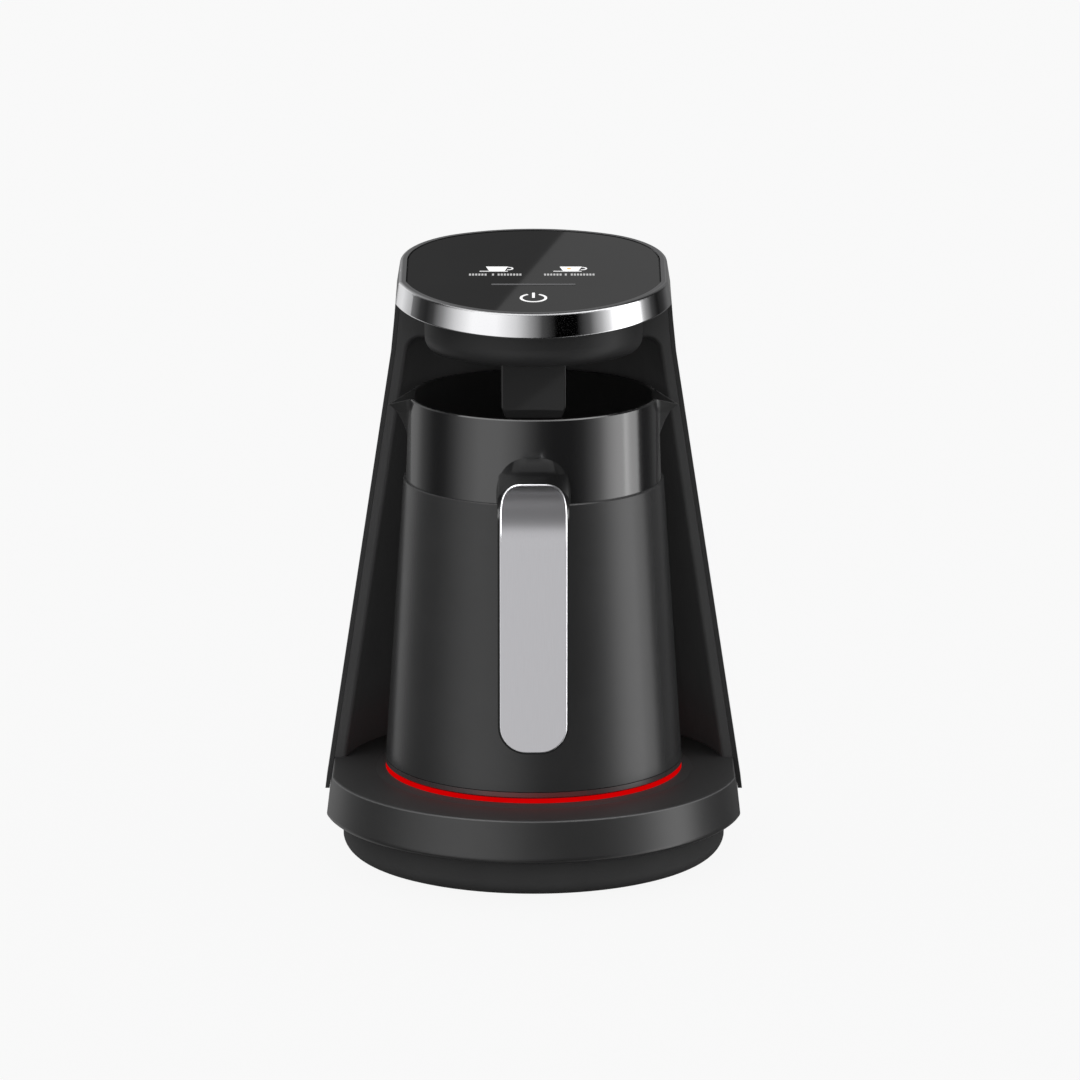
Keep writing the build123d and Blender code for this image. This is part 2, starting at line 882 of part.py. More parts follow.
def make_pot_jacket():
    low, top = jacket_bottom_z, jacket_top_z
    body = turned(
        [
            (jacket_radius(low) - jacket_wall, low),
            (jacket_radius(low) - seam_chamfer, low),
            (jacket_radius(low), low + seam_chamfer),
            (jacket_radius(top), top),
            (jacket_radius(top) - jacket_wall, top),
        ]
    )
    body = fillet(body.edges().group_by(Axis.Z)[-1].sort_by(SortBy.RADIUS)[-1], jacket_top_round)
    reach = jacket_wall / 2
    inside = turned(
        [
            (0, low),
            (jacket_radius(low) - reach, low),
            (jacket_radius(pot_boss_top_z) - reach, pot_boss_top_z),
            (0, pot_boss_top_z),
        ]
    )
    for x, y in pot_screw_places:
        angle = math.degrees(math.atan2(y, x))
        boss = rod(x, y, low, pot_boss_top_z, pot_boss_radius)
        web = Rot(0, 0, angle) * block(
            (pot_screw_radius, far), (-pot_boss_web, pot_boss_web), (low, pot_boss_top_z)
        )
        body += (boss + web) & inside
        body -= pilot_hole(x, y, low, low + screw_length)
    return body


def beak_section(reach, half_span, wall_radius):
    """Plan shape of one beak: concave flanks running out from the wall to a rounded tip."""
    root_x = math.sqrt(wall_radius**2 - half_span**2) - beak_root_depth
    tip_x = wall_radius + reach
    nose_x = tip_x - beak_tip_length
    waist_x = root_x + (tip_x - root_x) * beak_waist[0]
    waist_y = beak_tip_half + (half_span - beak_tip_half) * beak_waist[1]
    return make_face(
        [
            Line((root_x, -half_span), (root_x, half_span)),
            ThreePointArc((root_x, half_span), (waist_x, waist_y), (nose_x, beak_tip_half)),
            ThreePointArc((nose_x, beak_tip_half), (tip_x, 0), (nose_x, -beak_tip_half)),
            ThreePointArc((nose_x, -beak_tip_half), (waist_x, -waist_y), (root_x, -half_span)),
        ]
    )


def beak_form(inset, rise):
    """Beak lofted down the collar; inset gives the pouring channel inside it, carried up past the rim."""
    stations = [(pot_rim_z - drop, reach, share) for drop, reach, share in beak_levels]
    if rise:
        stations.insert(0, (pot_rim_z + rise, *beak_levels[0][1:]))
    faces = []
    for z, reach, share in stations:
        wall = collar_radius(min(z, pot_rim_z)) - inset * beak_channel_back
        half_span = max(beak_half_span * share - inset, beak_channel_half)
        faces.append(at_height(z) * beak_section(reach - inset * beak_channel_front, half_span, wall))
    return loft(faces, ruled=True)


def collar_radius(z):
    share = (z - jacket_top_z) / (pot_rim_z - jacket_top_z)
    return collar_seam_radius + (rim_radius - collar_seam_radius) * share


def vessel_inner_radius(z):
    """Inside wall below the collar: parallel to the jacket."""
    return jacket_radius(z) - jacket_wall - vessel_gap - vessel_wall


def make_pot_vessel():
    neck_z = jacket_top_z
    floor_under = vessel_floor_z - vessel_floor
    outer = turned(
        [
            (0, floor_under),
            (vessel_inner_radius(floor_under) + vessel_wall, floor_under),
            (vessel_inner_radius(neck_z) + vessel_wall, neck_z),
            (collar_seam_radius, neck_z),
            (rim_radius, pot_rim_z - rim_chamfer),
            (rim_radius - rim_chamfer, pot_rim_z),
            (0, pot_rim_z),
        ]
    )
    outer = fillet(outer.edges().group_by(Axis.Z)[0], vessel_floor_round + vessel_floor)
    inner = turned(
        [
            (0, vessel_floor_z),
            (vessel_inner_radius(vessel_floor_z), vessel_floor_z),
            (vessel_inner_radius(neck_z), neck_z),
            (rim_inner_radius, neck_z + neck_step),
            (rim_inner_radius, pot_rim_z - rim_chamfer),
            (rim_inner_radius + rim_chamfer, pot_rim_z),
            (rim_inner_radius + rim_chamfer, pot_rim_z + neck_step),
            (0, pot_rim_z + neck_step),
        ]
    )
    inner = fillet(inner.edges().group_by(Axis.Z)[0], vessel_floor_round)
    beak = beak_form(0.0, 0.0)
    channel = beak_form(beak_wall, beak_channel_rise)
    outer += [beak, mirror(beak, about=Plane.YZ)]
    inner += [channel, mirror(channel, about=Plane.YZ)]
    tip_drop, tip_reach, _ = beak_levels[1]
    tip_x = rim_radius + tip_reach
    tip_slope = math.degrees(math.atan2(tip_drop, tip_x - rim_inner_radius))
    over_beak = block((0, far), (-far, far), (0, far))
    over_beak = Pos(rim_inner_radius, 0, pot_rim_z) * Rot(0, tip_slope, 0) * over_beak
    outer -= [over_beak, mirror(over_beak, about=Plane.YZ)]
    return outer - inner


def make_heater_plate():
    top = vessel_floor_z - vessel_floor
    return rod(0, 0, top - heater_thickness, top, heater_radius)


def heater_under_z():
    return vessel_floor_z - vessel_floor - heater_thickness


def make_heating_element():
    centre_z = heater_under_z() - element_tube_radius
    section = Plane.XZ * Pos(element_radius, centre_z) * Circle(element_tube_radius)
    tube = revolve(section, Axis.Z, element_arc)
    for angle in (element_leg_angle, element_arc - element_leg_angle):
        x, y = polar(element_radius, angle)
        tube += rod(x, y, centre_z - element_tube_radius - element_leg_length, centre_z, element_leg_radius)
    return tube


def make_pot_coupler():
    low = pot_seat_z + coupler_seat_gap
    roof_top = coupler_roof_z + coupler_roof
    socket = post_radius + running_gap
    hub = socket + coupler_wall
    body = turned(
        [
            (socket, low),
            (hub, low),
            (hub, coupler_roof_z),
            (coupler_radius - coupler_wall, coupler_roof_z),
            (coupler_radius - coupler_wall, low),
            (coupler_radius, low),
            (coupler_radius, roof_top),
            (coupler_neck_radius, roof_top),
            (coupler_neck_radius, heater_under_z()),
            (0, heater_under_z()),
            (0, coupler_roof_z),
            (socket, coupler_roof_z),
        ]
    )
    return body


def make_earth_pin():
    return rod(0, 0, coupler_roof_z - earth_pin_height - earth_pin_drop, coupler_roof_z, earth_pin_radius)


def make_temp_sensor():
    return rod(0, sensor_offset, heater_under_z() - sensor_height, heater_under_z(), sensor_radius)


def make_thermal_fuse():
    x_size, y_size, z_size = fuse_size
    top = heater_under_z()
    return Pos(-fuse_offset, 0, top - z_size / 2) * Box(x_size, y_size, z_size)


def make_pot_base_cover():
    low, top = pot_seat_z, jacket_bottom_z
    lip_outer = jacket_radius(top + pot_cover_lip) - jacket_wall - snug
    body = turned(
        [
            (coupler_radius + snug, low),
            (jacket_radius(low) - pot_cover_chamfer, low),
            (jacket_radius(low), low + pot_cover_chamfer),
            (jacket_radius(top), top),
            (lip_outer, top),
            (lip_outer, top + pot_cover_lip),
            (lip_outer - pot_cover_lip_wall, top + pot_cover_lip),
            (lip_outer - pot_cover_lip_wall, low + pot_cover_thickness),
            (coupler_radius + snug, low + pot_cover_thickness),
        ]
    )
    for x, y in pot_screw_places:
        angle = math.degrees(math.atan2(y, x))
        notch = pot_boss_radius + pot_boss_gap
        notch_form = block((pot_screw_radius - notch, far), (-notch, notch), (top, far))
        body -= Rot(0, 0, angle) * notch_form
        body += rod(x, y, low + screw_head_height, top, pot_boss_radius)
        body -= rod(x, y, low, low + screw_head_height, screw_head_radius + snug)
        body -= pilot_hole(x, y, low, jacket_bottom_z)
    return body


def make_pot_screws():
    return [screw_up(x, y, pot_seat_z + screw_head_height) for x, y in pot_screw_places]


# ---------------------------------------------------------------- handle
def handle_profile(front_y, top_z, bottom_z, bend):
    """Outer side line of the handle in the YZ plane, from its root to its free end."""
    centre_y = handle_front_y + handle_bend
    centre_z = handle_top_z - handle_bend
    diagonal = bend / math.sqrt(2)
    return [
        Line((neck_root_y, top_z), (centre_y, top_z)),
        ThreePointArc((centre_y, top_z), (centre_y - diagonal, centre_z + diagonal), (front_y, centre_z)),
        Line((front_y, centre_z), (front_y, bottom_z)),
    ]


def pot_outside():
    """Outer form of the closed pot, which the handle's root seats on."""
    low, seam, top = pot_seat_z, jacket_top_z, pot_rim_z
    return turned(
        [
            (0, low),
            (jacket_radius(low), low),
            (jacket_radius(seam), seam),
            (collar_radius(seam), seam),
            (collar_radius(top), top),
            (0, top),
        ]
    )


def handle_front(width, low_z, high_z, low_round, corner_drop):
    """Handle outline seen from the front: round lower corners, flatter oval upper corners."""
    half, flat = width / 2, handle_top_flat / 2
    side_z = high_z - corner_drop
    end_z, end_x = low_z + low_round, half - low_round
    lean = low_round * (1 - 1 / math.sqrt(2))
    face = make_face(
        [
            Line((-end_x, low_z), (end_x, low_z)),
            ThreePointArc((end_x, low_z), (half - lean, low_z + lean), (half, end_z)),
            Line((half, end_z), (half, side_z)),
            EllipticalCenterArc((flat, side_z), half - flat, corner_drop, start_angle=0.0),
            Line((flat, high_z), (-flat, high_z)),
            EllipticalCenterArc((-flat, side_z), half - flat, corner_drop, start_angle=90.0),
            Line((-half, side_z), (-half, end_z)),
            ThreePointArc((-half, end_z), (lean - half, low_z + lean), (-end_x, low_z)),
        ]
    )
    return extrude(Plane.XZ * face, far)


def yz_solid(edges, half_width):
    face = Plane.YZ * make_face(edges)
    return extrude(face, half_width, both=True)


def make_grip():
    """Bent bar of the handle: the neck out from the pot, the bend and the free upright grip."""
    front_y = handle_front_y + insert_stand
    back_y = handle_front_y + handle_depth
    centre_y = handle_front_y + handle_bend
    centre_z = handle_top_z - handle_bend
    top_z = handle_top_z - insert_stand
    under_z = handle_top_z - handle_depth
    lean = (handle_bend - handle_depth) / math.sqrt(2)
    edges = handle_profile(front_y, top_z, handle_bottom_z, handle_bend - insert_stand)
    edges += [
        Line((front_y, handle_bottom_z), (back_y, handle_bottom_z)),
        Line((back_y, handle_bottom_z), (back_y, centre_z)),
        ThreePointArc((back_y, centre_z), (centre_y - lean, centre_z + lean), (centre_y, under_z)),
        Line((centre_y, under_z), (neck_root_y, under_z)),
        Line((neck_root_y, under_z), (neck_root_y, top_z)),
    ]
    bar = yz_solid(edges, handle_width / 2)
    inside = []
    for edge in bar.edges():
        middle = edge @ 0.5
        on_side = abs(abs(middle.X) - handle_width / 2) < slip
        on_back = back_y - slip < middle.Y < neck_root_y - slip
        if on_side and on_back and handle_bottom_z + slip < middle.Z < under_z + slip:
            inside.append(edge)
    bar = fillet(inside, handle_edge_round)
    front = handle_front(handle_width, handle_bottom_z, top_z, handle_end_round, handle_corner_drop)
    return bar & front


def saddle_arch(share):
    """Arched section of the root: 1 is the flare inside the collar's wall, 0 the neck's section."""

    def between(neck, wall):
        return neck + (wall - neck) * share

    half = between(handle_width / 2 - saddle_inset, saddle_width / 2)
    low_z = between(handle_top_z - handle_depth + saddle_inset, saddle_bottom_z)
    top_z = between(handle_top_z - saddle_inset, saddle_top_z)
    corner_run = between(handle_corner_run - saddle_inset, saddle_width / 2 - saddle_inset)
    corner_drop = between(handle_corner_drop, saddle_corner_drop)
    flat, side_z = half - corner_run, top_z - corner_drop
    return make_face(
        [
            Line((-half, low_z), (half, low_z)),
            Line((half, low_z), (half, side_z)),
            EllipticalCenterArc((flat, side_z), corner_run, corner_drop, start_angle=0.0),
            Line((flat, top_z), (-flat, top_z)),
            EllipticalCenterArc((-flat, side_z), corner_run, corner_drop, start_angle=90.0),
            Line((-half, side_z), (-half, low_z)),
        ]
    )


def make_saddle():
    """Root of the handle: the neck's section flares out in a hollow curve onto the pot's collar."""
    sections = []
    for station in saddle_stations:
        y = saddle_wall_y + (saddle_front_y - saddle_wall_y) * station
        sections.append(Plane.XZ.offset(-y) * saddle_arch((1 - station) ** 2))
    return loft(sections)


def insert_form():
    """Thin metal plate that follows the handle's outer face."""
    edges = handle_profile(handle_front_y, handle_top_z, handle_bottom_z, handle_bend)
    centre_y = handle_front_y + handle_bend
    centre_z = handle_top_z - handle_bend
    inner = handle_bend - insert_thickness
    diagonal = inner / math.sqrt(2)
    back_y = handle_front_y + insert_thickness
    under_z = centre_z + inner
    edges += [
        Line((handle_front_y, handle_bottom_z), (back_y, handle_bottom_z)),
        Line((back_y, handle_bottom_z), (back_y, centre_z)),
        ThreePointArc((back_y, centre_z), (centre_y - diagonal, centre_z + diagonal), (centre_y, under_z)),
        Line((centre_y, under_z), (neck_root_y, under_z)),
        Line((neck_root_y, under_z), (neck_root_y, handle_top_z)),
    ]
    width = handle_width - 2 * insert_border
    low_z = handle_bottom_z + insert_border
    low_round = handle_end_round - insert_border
    front = handle_front(width, low_z, far, low_round, insert_corner_length)
    return yz_solid(edges, handle_width) & front & insert_upper_end()


def insert_upper_end():
    """Oval upper end of the plate, drawn square to the bend where the end lies."""
    tilt = math.radians(insert_corner_angle)
    bend_centre = (0, handle_front_y + handle_bend, handle_top_z - handle_bend)
    plane = Plane(origin=bend_centre, x_dir=(1, 0, 0), z_dir=(0, -math.sin(tilt), math.cos(tilt)))
    half, flat = handle_width / 2 - insert_border, handle_top_flat / 2
    top = handle_bend * math.sin(tilt - math.radians(insert_top_angle))
    side = top - insert_corner_length
    face = make_face(
        [
            Line((-half, -far), (half, -far)),
            Line((half, -far), (half, side)),
            EllipticalCenterArc((flat, side), half - flat, insert_corner_length, start_angle=0.0),
            Line((flat, top), (-flat, top)),
            EllipticalCenterArc((-flat, side), half - flat, insert_corner_length, start_angle=90.0),
            Line((-half, side), (-half, -far)),
        ]
    )
    return extrude(plane * face, far, both=True)


def make_handle_insert():
    """Metal plate with a bright chamfer round its outer face."""
    plate = insert_form()
    centre_y = handle_front_y + handle_bend
    centre_z = handle_top_z - handle_bend

    def on_outer_face(point):
        on_grip = abs(point.Y - handle_front_y) < slip and point.Z < centre_z + slip
        return on_grip or abs(math.hypot(point.Y - centre_y, point.Z - centre_z) - handle_bend) < slip

    rim = [edge for edge in plate.edges() if on_outer_face(edge @ 0) and on_outer_face(edge @ 0.5)]
    rim = [edge for edge in rim if on_outer_face(edge @ 1) and not is_bend_line(edge, centre_z)]
    return chamfer(rim, insert_edge_chamfer)


def is_bend_line(edge, centre_z):
    """True for the level line where the bend runs into the flat grip."""
    return abs((edge @ 0).Z - centre_z) < slip and abs((edge @ 1).Z - centre_z) < slip


def bracket_block():
    x_size, y_size, z_size = bracket_size
    return block(
        (-x_size / 2, x_size / 2),
        (-collar_seam_radius - y_size, -collar_seam_radius + cut_past),
        (bracket_z, bracket_z + z_size),
    )


def make_handle_body():
    body = make_grip() + make_saddle()
    body -= insert_form()
    body -= bracket_block()
    body -= pot_outside()
    return body


def make_handle_bracket():
    return bracket_block() - pot_outside()


# ---------------------------------------------------------------- assembly
def assemble():
    return {
        "base_plinth": make_base_plinth(),
        "base_cover": make_base_cover(),
        "light_ring": make_light_ring(),
        "led_board": make_led_board(),
        "leds": make_leds(),
        "rubber_feet": make_rubber_feet(),
        "base_screws": [screw_up(x, y, foot_stand + screw_head_height) for x, y in post_places],
        "coupler_base": make_coupler_base(),
        "contact_rings": [contact_ring(z) for z in contact_ring_z],
        "power_board": make_power_board(),
        "relay": on_board(-relay_offset, power_board_y, relay_size),
        "transformer": on_board(transformer_offset, power_board_y, transformer_size),
        "board_screws": make_board_screws(),
        "rear_shell": make_rear_shell(),
        "tower_liner": make_tower_liner(),
        "tower_screws": make_tower_screws(),
        "cord_gland": make_cord_gland(),
        "head_housing": make_head_housing(),
        "chrome_ring": make_chrome_ring(),
        "glass_panel": make_glass_panel(),
        "touch_board": make_touch_board(),
        "buzzer": make_buzzer(),
        "sensor_arm": make_sensor_arm(),
        "sensor_lens": make_sensor_lens(),
        "sensor_board": make_sensor_board(),
        "pot_vessel": make_pot_vessel(),
        "pot_jacket": make_pot_jacket(),
        "heater_plate": make_heater_plate(),
        "heating_element": make_heating_element(),
        "pot_coupler": make_pot_coupler(),
        "earth_pin": make_earth_pin(),
        "temp_sensor": make_temp_sensor(),
        "thermal_fuse": make_thermal_fuse(),
        "pot_base_cover": make_pot_base_cover(),
        "pot_screws": make_pot_screws(),
        "handle_body": make_handle_body(),
        "handle_insert": make_handle_insert(),
        "handle_bracket": make_handle_bracket(),
    }


os.makedirs("parts", exist_ok=True)
for node, shape in assemble().items():
    solids = shape if isinstance(shape, list) else [shape]
    flat = [solid for item in solids for solid in item.solids()]
    piece = flat[0] if len(flat) == 1 else Compound(flat)
    export_step(piece, f"parts/{node}.step")
    print(node, len(flat), round(sum(s.volume for s in flat)))
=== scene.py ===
"""Looks of the electric Turkish coffee maker: camera, studio, finishes and the small added pieces.

Metres, +Z up, the pot's handle faces -Y, and the object stands on the floor at Z = 0. Azimuths are in
degrees, 0 in front of the object and positive towards +X.
"""

import json
import math

import bmesh
import bpy
from mathutils import Matrix, Vector


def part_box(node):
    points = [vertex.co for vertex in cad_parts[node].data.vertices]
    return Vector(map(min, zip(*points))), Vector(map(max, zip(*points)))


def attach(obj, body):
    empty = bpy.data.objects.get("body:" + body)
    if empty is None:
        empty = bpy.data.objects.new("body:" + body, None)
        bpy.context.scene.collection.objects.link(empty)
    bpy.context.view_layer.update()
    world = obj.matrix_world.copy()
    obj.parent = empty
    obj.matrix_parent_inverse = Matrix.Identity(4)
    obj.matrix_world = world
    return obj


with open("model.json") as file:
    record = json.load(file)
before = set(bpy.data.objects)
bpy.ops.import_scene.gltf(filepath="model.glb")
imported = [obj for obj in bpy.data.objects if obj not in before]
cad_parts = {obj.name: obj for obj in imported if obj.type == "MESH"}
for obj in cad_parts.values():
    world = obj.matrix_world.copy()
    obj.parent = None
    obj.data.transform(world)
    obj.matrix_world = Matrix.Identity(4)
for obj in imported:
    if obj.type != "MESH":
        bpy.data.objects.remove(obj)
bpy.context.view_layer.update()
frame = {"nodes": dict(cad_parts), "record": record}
nodes = frame["nodes"]

MM = 0.001

# ---------------------------------------------------------------- camera
CAMERA_PLACE = Vector((2.4 * MM, -2400.0 * MM, 688.0 * MM))
CAMERA_PITCH = math.radians(13.3)
CAMERA_LENS = 219.33
SENSOR = 36.0
CAMERA_CLIP = (0.05, 50.0)


def make_camera():
    data = bpy.data.cameras.new("camera")
    data.lens = CAMERA_LENS
    data.sensor_width = SENSOR
    data.clip_start, data.clip_end = CAMERA_CLIP
    camera = bpy.data.objects.new("camera", data)
    camera.location = CAMERA_PLACE
    camera.rotation_euler = (math.pi / 2 - CAMERA_PITCH, 0.0, 0.0)
    bpy.context.scene.collection.objects.link(camera)
    bpy.context.scene.camera = camera
    bpy.context.scene.view_settings.view_transform = "Standard"


# ---------------------------------------------------------------- studio
BACKDROP = 0.947  # what the camera sees behind the object
STUDIO_AMBIENT = 0.8  # the same from every side, for light that isn't a mirror image
FLOOR_HALF = 6.0
FLOOR_GLOW = 0.955
FLOOR_GLOW_SHARE = 0.96  # the rest is paper, which keeps a faint shadow
FLOOR_PAPER = 0.9
FLOOR_BOUNCE = 0.35  # the floor's tone for everything but the camera

# ring of cards that shiny surfaces see: azimuth and radiance
STUDIO_ROUND = (
    (-180, 0.12),
    (-173, 0.20),
    (-155, 0.40),
    (-133, 0.54),
    (-120, 0.24),
    (-104, 0.04),
    (-96, 0.02),
    (-88, 0.05),
    (-78, 0.26),
    (-66, 0.68),
    (-50, 1.10),
    (-30, 1.10),
    (-14, 0.74),
    (-3, 0.34),
    (7, 0.07),
    (18, 0.0),
    (35, 0.0),
    (46, 0.10),
    (56, 0.46),
    (63, 0.85),
    (72, 1.9),
    (82, 2.6),
    (92, 2.6),
    (98, 0.6),
    (102, 0.3),
    (110, 0.06),
    (119, 0.01),
    (130, 0.04),
    (142, 0.14),
    (158, 0.12),
    (173, 0.18),
    (180, 0.12),
)
CARD_FADE = (0.5, 0.78)  # sines of elevation between which the cards go faint, above and below
CARD_FAINT = 0.42


# ---------------------------------------------------------------- node helpers
def math_node(tree, operation, first, second=None):
    """Result of a Math node; each operand is a socket or a plain number."""
    node = tree.nodes.new("ShaderNodeMath")
    node.operation = operation
    for socket, value in zip(node.inputs, (first, second)):
        if isinstance(value, float):
            socket.default_value = value
        elif value is not None:
            tree.links.new(value, socket)
    return node.outputs["Value"]


def ranged(tree, value, to_min, to_max, from_min=0.0, from_max=1.0):
    """Value carried from one range to another and held at its ends."""
    node = tree.nodes.new("ShaderNodeMapRange")
    node.inputs["From Min"].default_value = from_min
    node.inputs["From Max"].default_value = from_max
    node.inputs["To Min"].default_value = to_min
    node.inputs["To Max"].default_value = to_max
    tree.links.new(value, node.inputs["Value"])
    return node.outputs["Result"]


def axes_of(tree, vector):
    """X, Y and Z outputs of a vector."""
    split = tree.nodes.new("ShaderNodeSeparateXYZ")
    tree.links.new(vector, split.inputs["Vector"])
    return split.outputs


def grey(value):
    return (value, value, value, 1.0)


# ---------------------------------------------------------------- world and floor
def azimuth_ramp(tree, turn, cards):
    """Colour ramp over the full turn; cards lists (degrees, radiance) from -180 to 180."""
    ramp = tree.nodes.new("ShaderNodeValToRGB")
    stops = ramp.color_ramp.elements
    for degrees, radiance in cards[1:-1]:
        stops.new((degrees + 180) / 360).color = grey(radiance)
    stops[0].color = grey(cards[0][1])
    stops[len(stops) - 1].color = grey(cards[-1][1])
    tree.links.new(turn, ramp.inputs["Fac"])
    return ramp.outputs["Color"]


def background(tree, colour, strength=None):
    """Background shader; colour is a grey value or a socket, and strength is 1 or a socket."""
    shader = tree.nodes.new("ShaderNodeBackground")
    if isinstance(colour, float):
        shader.inputs["Color"].default_value = grey(colour)
    else:
        tree.links.new(colour, shader.inputs["Color"])
    if strength is not None:
        tree.links.new(strength, shader.inputs["Strength"])
    return shader.outputs["Background"]


def shader_mix(tree, share, first, second):
    """First shader where share is 0, second where it is 1."""
    mix = tree.nodes.new("ShaderNodeMixShader")
    if isinstance(share, float):
        mix.inputs["Fac"].default_value = share
    else:
        tree.links.new(share, mix.inputs["Fac"])
    tree.links.new(first, mix.inputs[1])
    tree.links.new(second, mix.inputs[2])
    return mix.outputs["Shader"]


def make_world():
    """Pale to the camera, even to matt surfaces, and a ring of soft cards to shiny ones."""
    world = bpy.data.worlds.new("studio_air")
    world.use_nodes = True
    tree = world.node_tree
    tree.nodes.clear()
    out = tree.nodes.new("ShaderNodeOutputWorld")
    path = tree.nodes.new("ShaderNodeLightPath")
    direction = tree.nodes.new("ShaderNodeTexCoord")

    axes = axes_of(tree, direction.outputs["Generated"])
    towards_front = math_node(tree, "MULTIPLY", axes["Y"], -1.0)
    azimuth = math_node(tree, "ARCTAN2", axes["X"], towards_front)
    ring = azimuth_ramp(tree, ranged(tree, azimuth, 0.0, 1.0, -math.pi, math.pi), STUDIO_ROUND)
    fade = ranged(tree, math_node(tree, "ABSOLUTE", axes["Z"]), 1.0, CARD_FAINT, *CARD_FADE)

    even = background(tree, STUDIO_AMBIENT)
    cards = background(tree, ring, fade)
    lit = shader_mix(tree, path.outputs["Is Glossy Ray"], even, cards)
    whole = shader_mix(tree, path.outputs["Is Camera Ray"], lit, background(tree, BACKDROP))
    tree.links.new(whole, out.inputs["Surface"])
    bpy.context.scene.world = world


def floor_finish():
    """Pale floor that keeps only a faint shadow and throws little light back up."""
    mat = bpy.data.materials.new("studio_floor")
    mat.use_nodes = True
    tree = mat.node_tree
    tree.nodes.clear()
    out = tree.nodes.new("ShaderNodeOutputMaterial")
    ray = tree.nodes.new("ShaderNodeLightPath")
    glow = tree.nodes.new("ShaderNodeEmission")
    paper = tree.nodes.new("ShaderNodeBsdfDiffuse")
    bounce = tree.nodes.new("ShaderNodeBsdfDiffuse")
    glow.inputs["Color"].default_value = grey(FLOOR_GLOW)
    paper.inputs["Color"].default_value = grey(FLOOR_PAPER)
    bounce.inputs["Color"].default_value = grey(FLOOR_BOUNCE)
    seen = shader_mix(tree, FLOOR_GLOW_SHARE, paper.outputs["BSDF"], glow.outputs["Emission"])
    both = shader_mix(tree, ray.outputs["Is Camera Ray"], bounce.outputs["BSDF"], seen)
    tree.links.new(both, out.inputs["Surface"])
    return mat


def make_floor():
    bm = bmesh.new()
    bmesh.ops.create_grid(bm, x_segments=1, y_segments=1, size=FLOOR_HALF)
    floor = mesh_object("studio_floor_sheet", bm, floor_finish())
    floor.visible_glossy = False


# ---------------------------------------------------------------- lamps
OBJECT_MIDDLE = (0.0, 0.0, 0.11)
PLATE_FOOT = (0.0, 0.0, 0.04)
POT_FOOT = (0.0, 0.0, 0.037)
RING_RED = (1.0, 0.02, 0.02)
CARD_DISTANCE = 1.0
CEILING = {"azimuth": 0, "elevation": 76, "size": (1.6, 1.0)}
STRIP_SIZE = (0.34, 1.3)
TRIM_STRIP_SIZE = (0.52, 1.3)
RECESS_AZIMUTH = 68


def area_card(name, size, radiance):
    """Rectangular lamp of an even radiance, which the camera doesn't see."""
    data = bpy.data.lights.new(name, "AREA")
    data.shape = "RECTANGLE"
    data.size, data.size_y = size
    data.energy = radiance * math.pi * size[0] * size[1]
    lamp = bpy.data.objects.new(name, data)
    lamp.visible_camera = False
    bpy.context.scene.collection.objects.link(lamp)
    return lamp


def softbox(name, azimuth, elevation, size, radiance, only, aim=OBJECT_MIDDLE, distance=CARD_DISTANCE):
    """Card that faces the aim from a direction and lights only the listed pieces."""
    lamp = area_card(name, size, radiance)
    a, e = math.radians(azimuth), math.radians(elevation)
    away = Vector((math.sin(a) * math.cos(e), -math.cos(a) * math.cos(e), math.sin(e)))
    lamp.location = Vector(aim) + away * distance
    lamp.rotation_euler = away.to_track_quat("Z", "Y").to_euler()
    light_only(lamp, only)
    return lamp


def mirror_card(name, azimuth, size, radiance, only):
    """Upright card that is seen in glossy surfaces only."""
    lamp = softbox(name, azimuth, elevation=0, size=size, radiance=radiance, only=only)
    lamp.visible_diffuse = False


def edge_card(name, y, start, end, size, radiance, only):
    """Card in an upright plane at depth y, with one edge through two (x, z) points.

    Its width lies to the right of the way from start to end, seen by someone who stands on its lit side.
    """
    lamp = area_card(name, size, radiance)
    along = Vector((end[0] - start[0], 0.0, end[1] - start[1])).normalized()
    back = Vector((0.0, math.copysign(1.0, y), 0.0))
    across = back.cross(along)
    middle = Vector(((start[0] + end[0]) / 2, y, (start[1] + end[1]) / 2))
    turn = Matrix((along, across, back)).transposed().to_4x4()
    lamp.matrix_world = Matrix.Translation(middle + across * size[1] / 2) @ turn
    light_only(lamp, only)


def group(name, pieces):
    """Collection for light linking, which isn't part of the scene's own tree."""
    members = bpy.data.collections.new(name)
    for piece in pieces:
        members.objects.link(piece)
    return members


def light_only(lamp, pieces):
    """Keeps a lamp's light on the pieces that it is set up for."""
    lamp.light_linking.receiver_collection = group(lamp.name + "_receivers", pieces)


def shaded_by(lamp, pieces):
    """Lets only these pieces stand in a lamp's light."""
    lamp.light_linking.blocker_collection = group(lamp.name + "_blockers", pieces)


def picked(*names):
    return [nodes[name] for name in names]


def light_plate():
    softbox(
        "insert_floor_card",
        azimuth=0,
        elevation=-4,
        size=(1.2, 0.8),
        radiance=0.42,
        only=picked("handle_insert"),
        aim=PLATE_FOOT,
        distance=0.52,
    )


def light_from_above():
    """Ceiling card for every node but four, and a fainter one for the chrome band."""
    apart = ("handle_insert", "glass_panel", "chrome_ring", "handle_body")
    others = [piece for name, piece in nodes.items() if name not in apart]
    softbox("ceiling_card", **CEILING, radiance=2.2, only=others)
    softbox("trim_card", **CEILING, radiance=0.6, only=picked("chrome_ring"))


def light_strips():
    """Upright highlights on the collar, the jacket and the chrome band."""
    mirror_card("collar_strip", 99, STRIP_SIZE, 2.0, picked("pot_vessel"))
    mirror_card("jacket_strip", 101, STRIP_SIZE, 1.3, picked("pot_jacket"))
    mirror_card("trim_strip", -128, TRIM_STRIP_SIZE, 0.3, picked("chrome_ring"))


def light_bead(bead):
    """Two cards from the right, one high and one low; only the plate shades the low one."""
    softbox("bead_card", azimuth=55, elevation=50, size=(1.4, 1.6), radiance=3.2, only=[bead])
    side = softbox("bead_side_card", azimuth=84, elevation=-4, size=(0.9, 0.7), radiance=3.0, only=[bead])
    shaded_by(side, picked("handle_insert"))


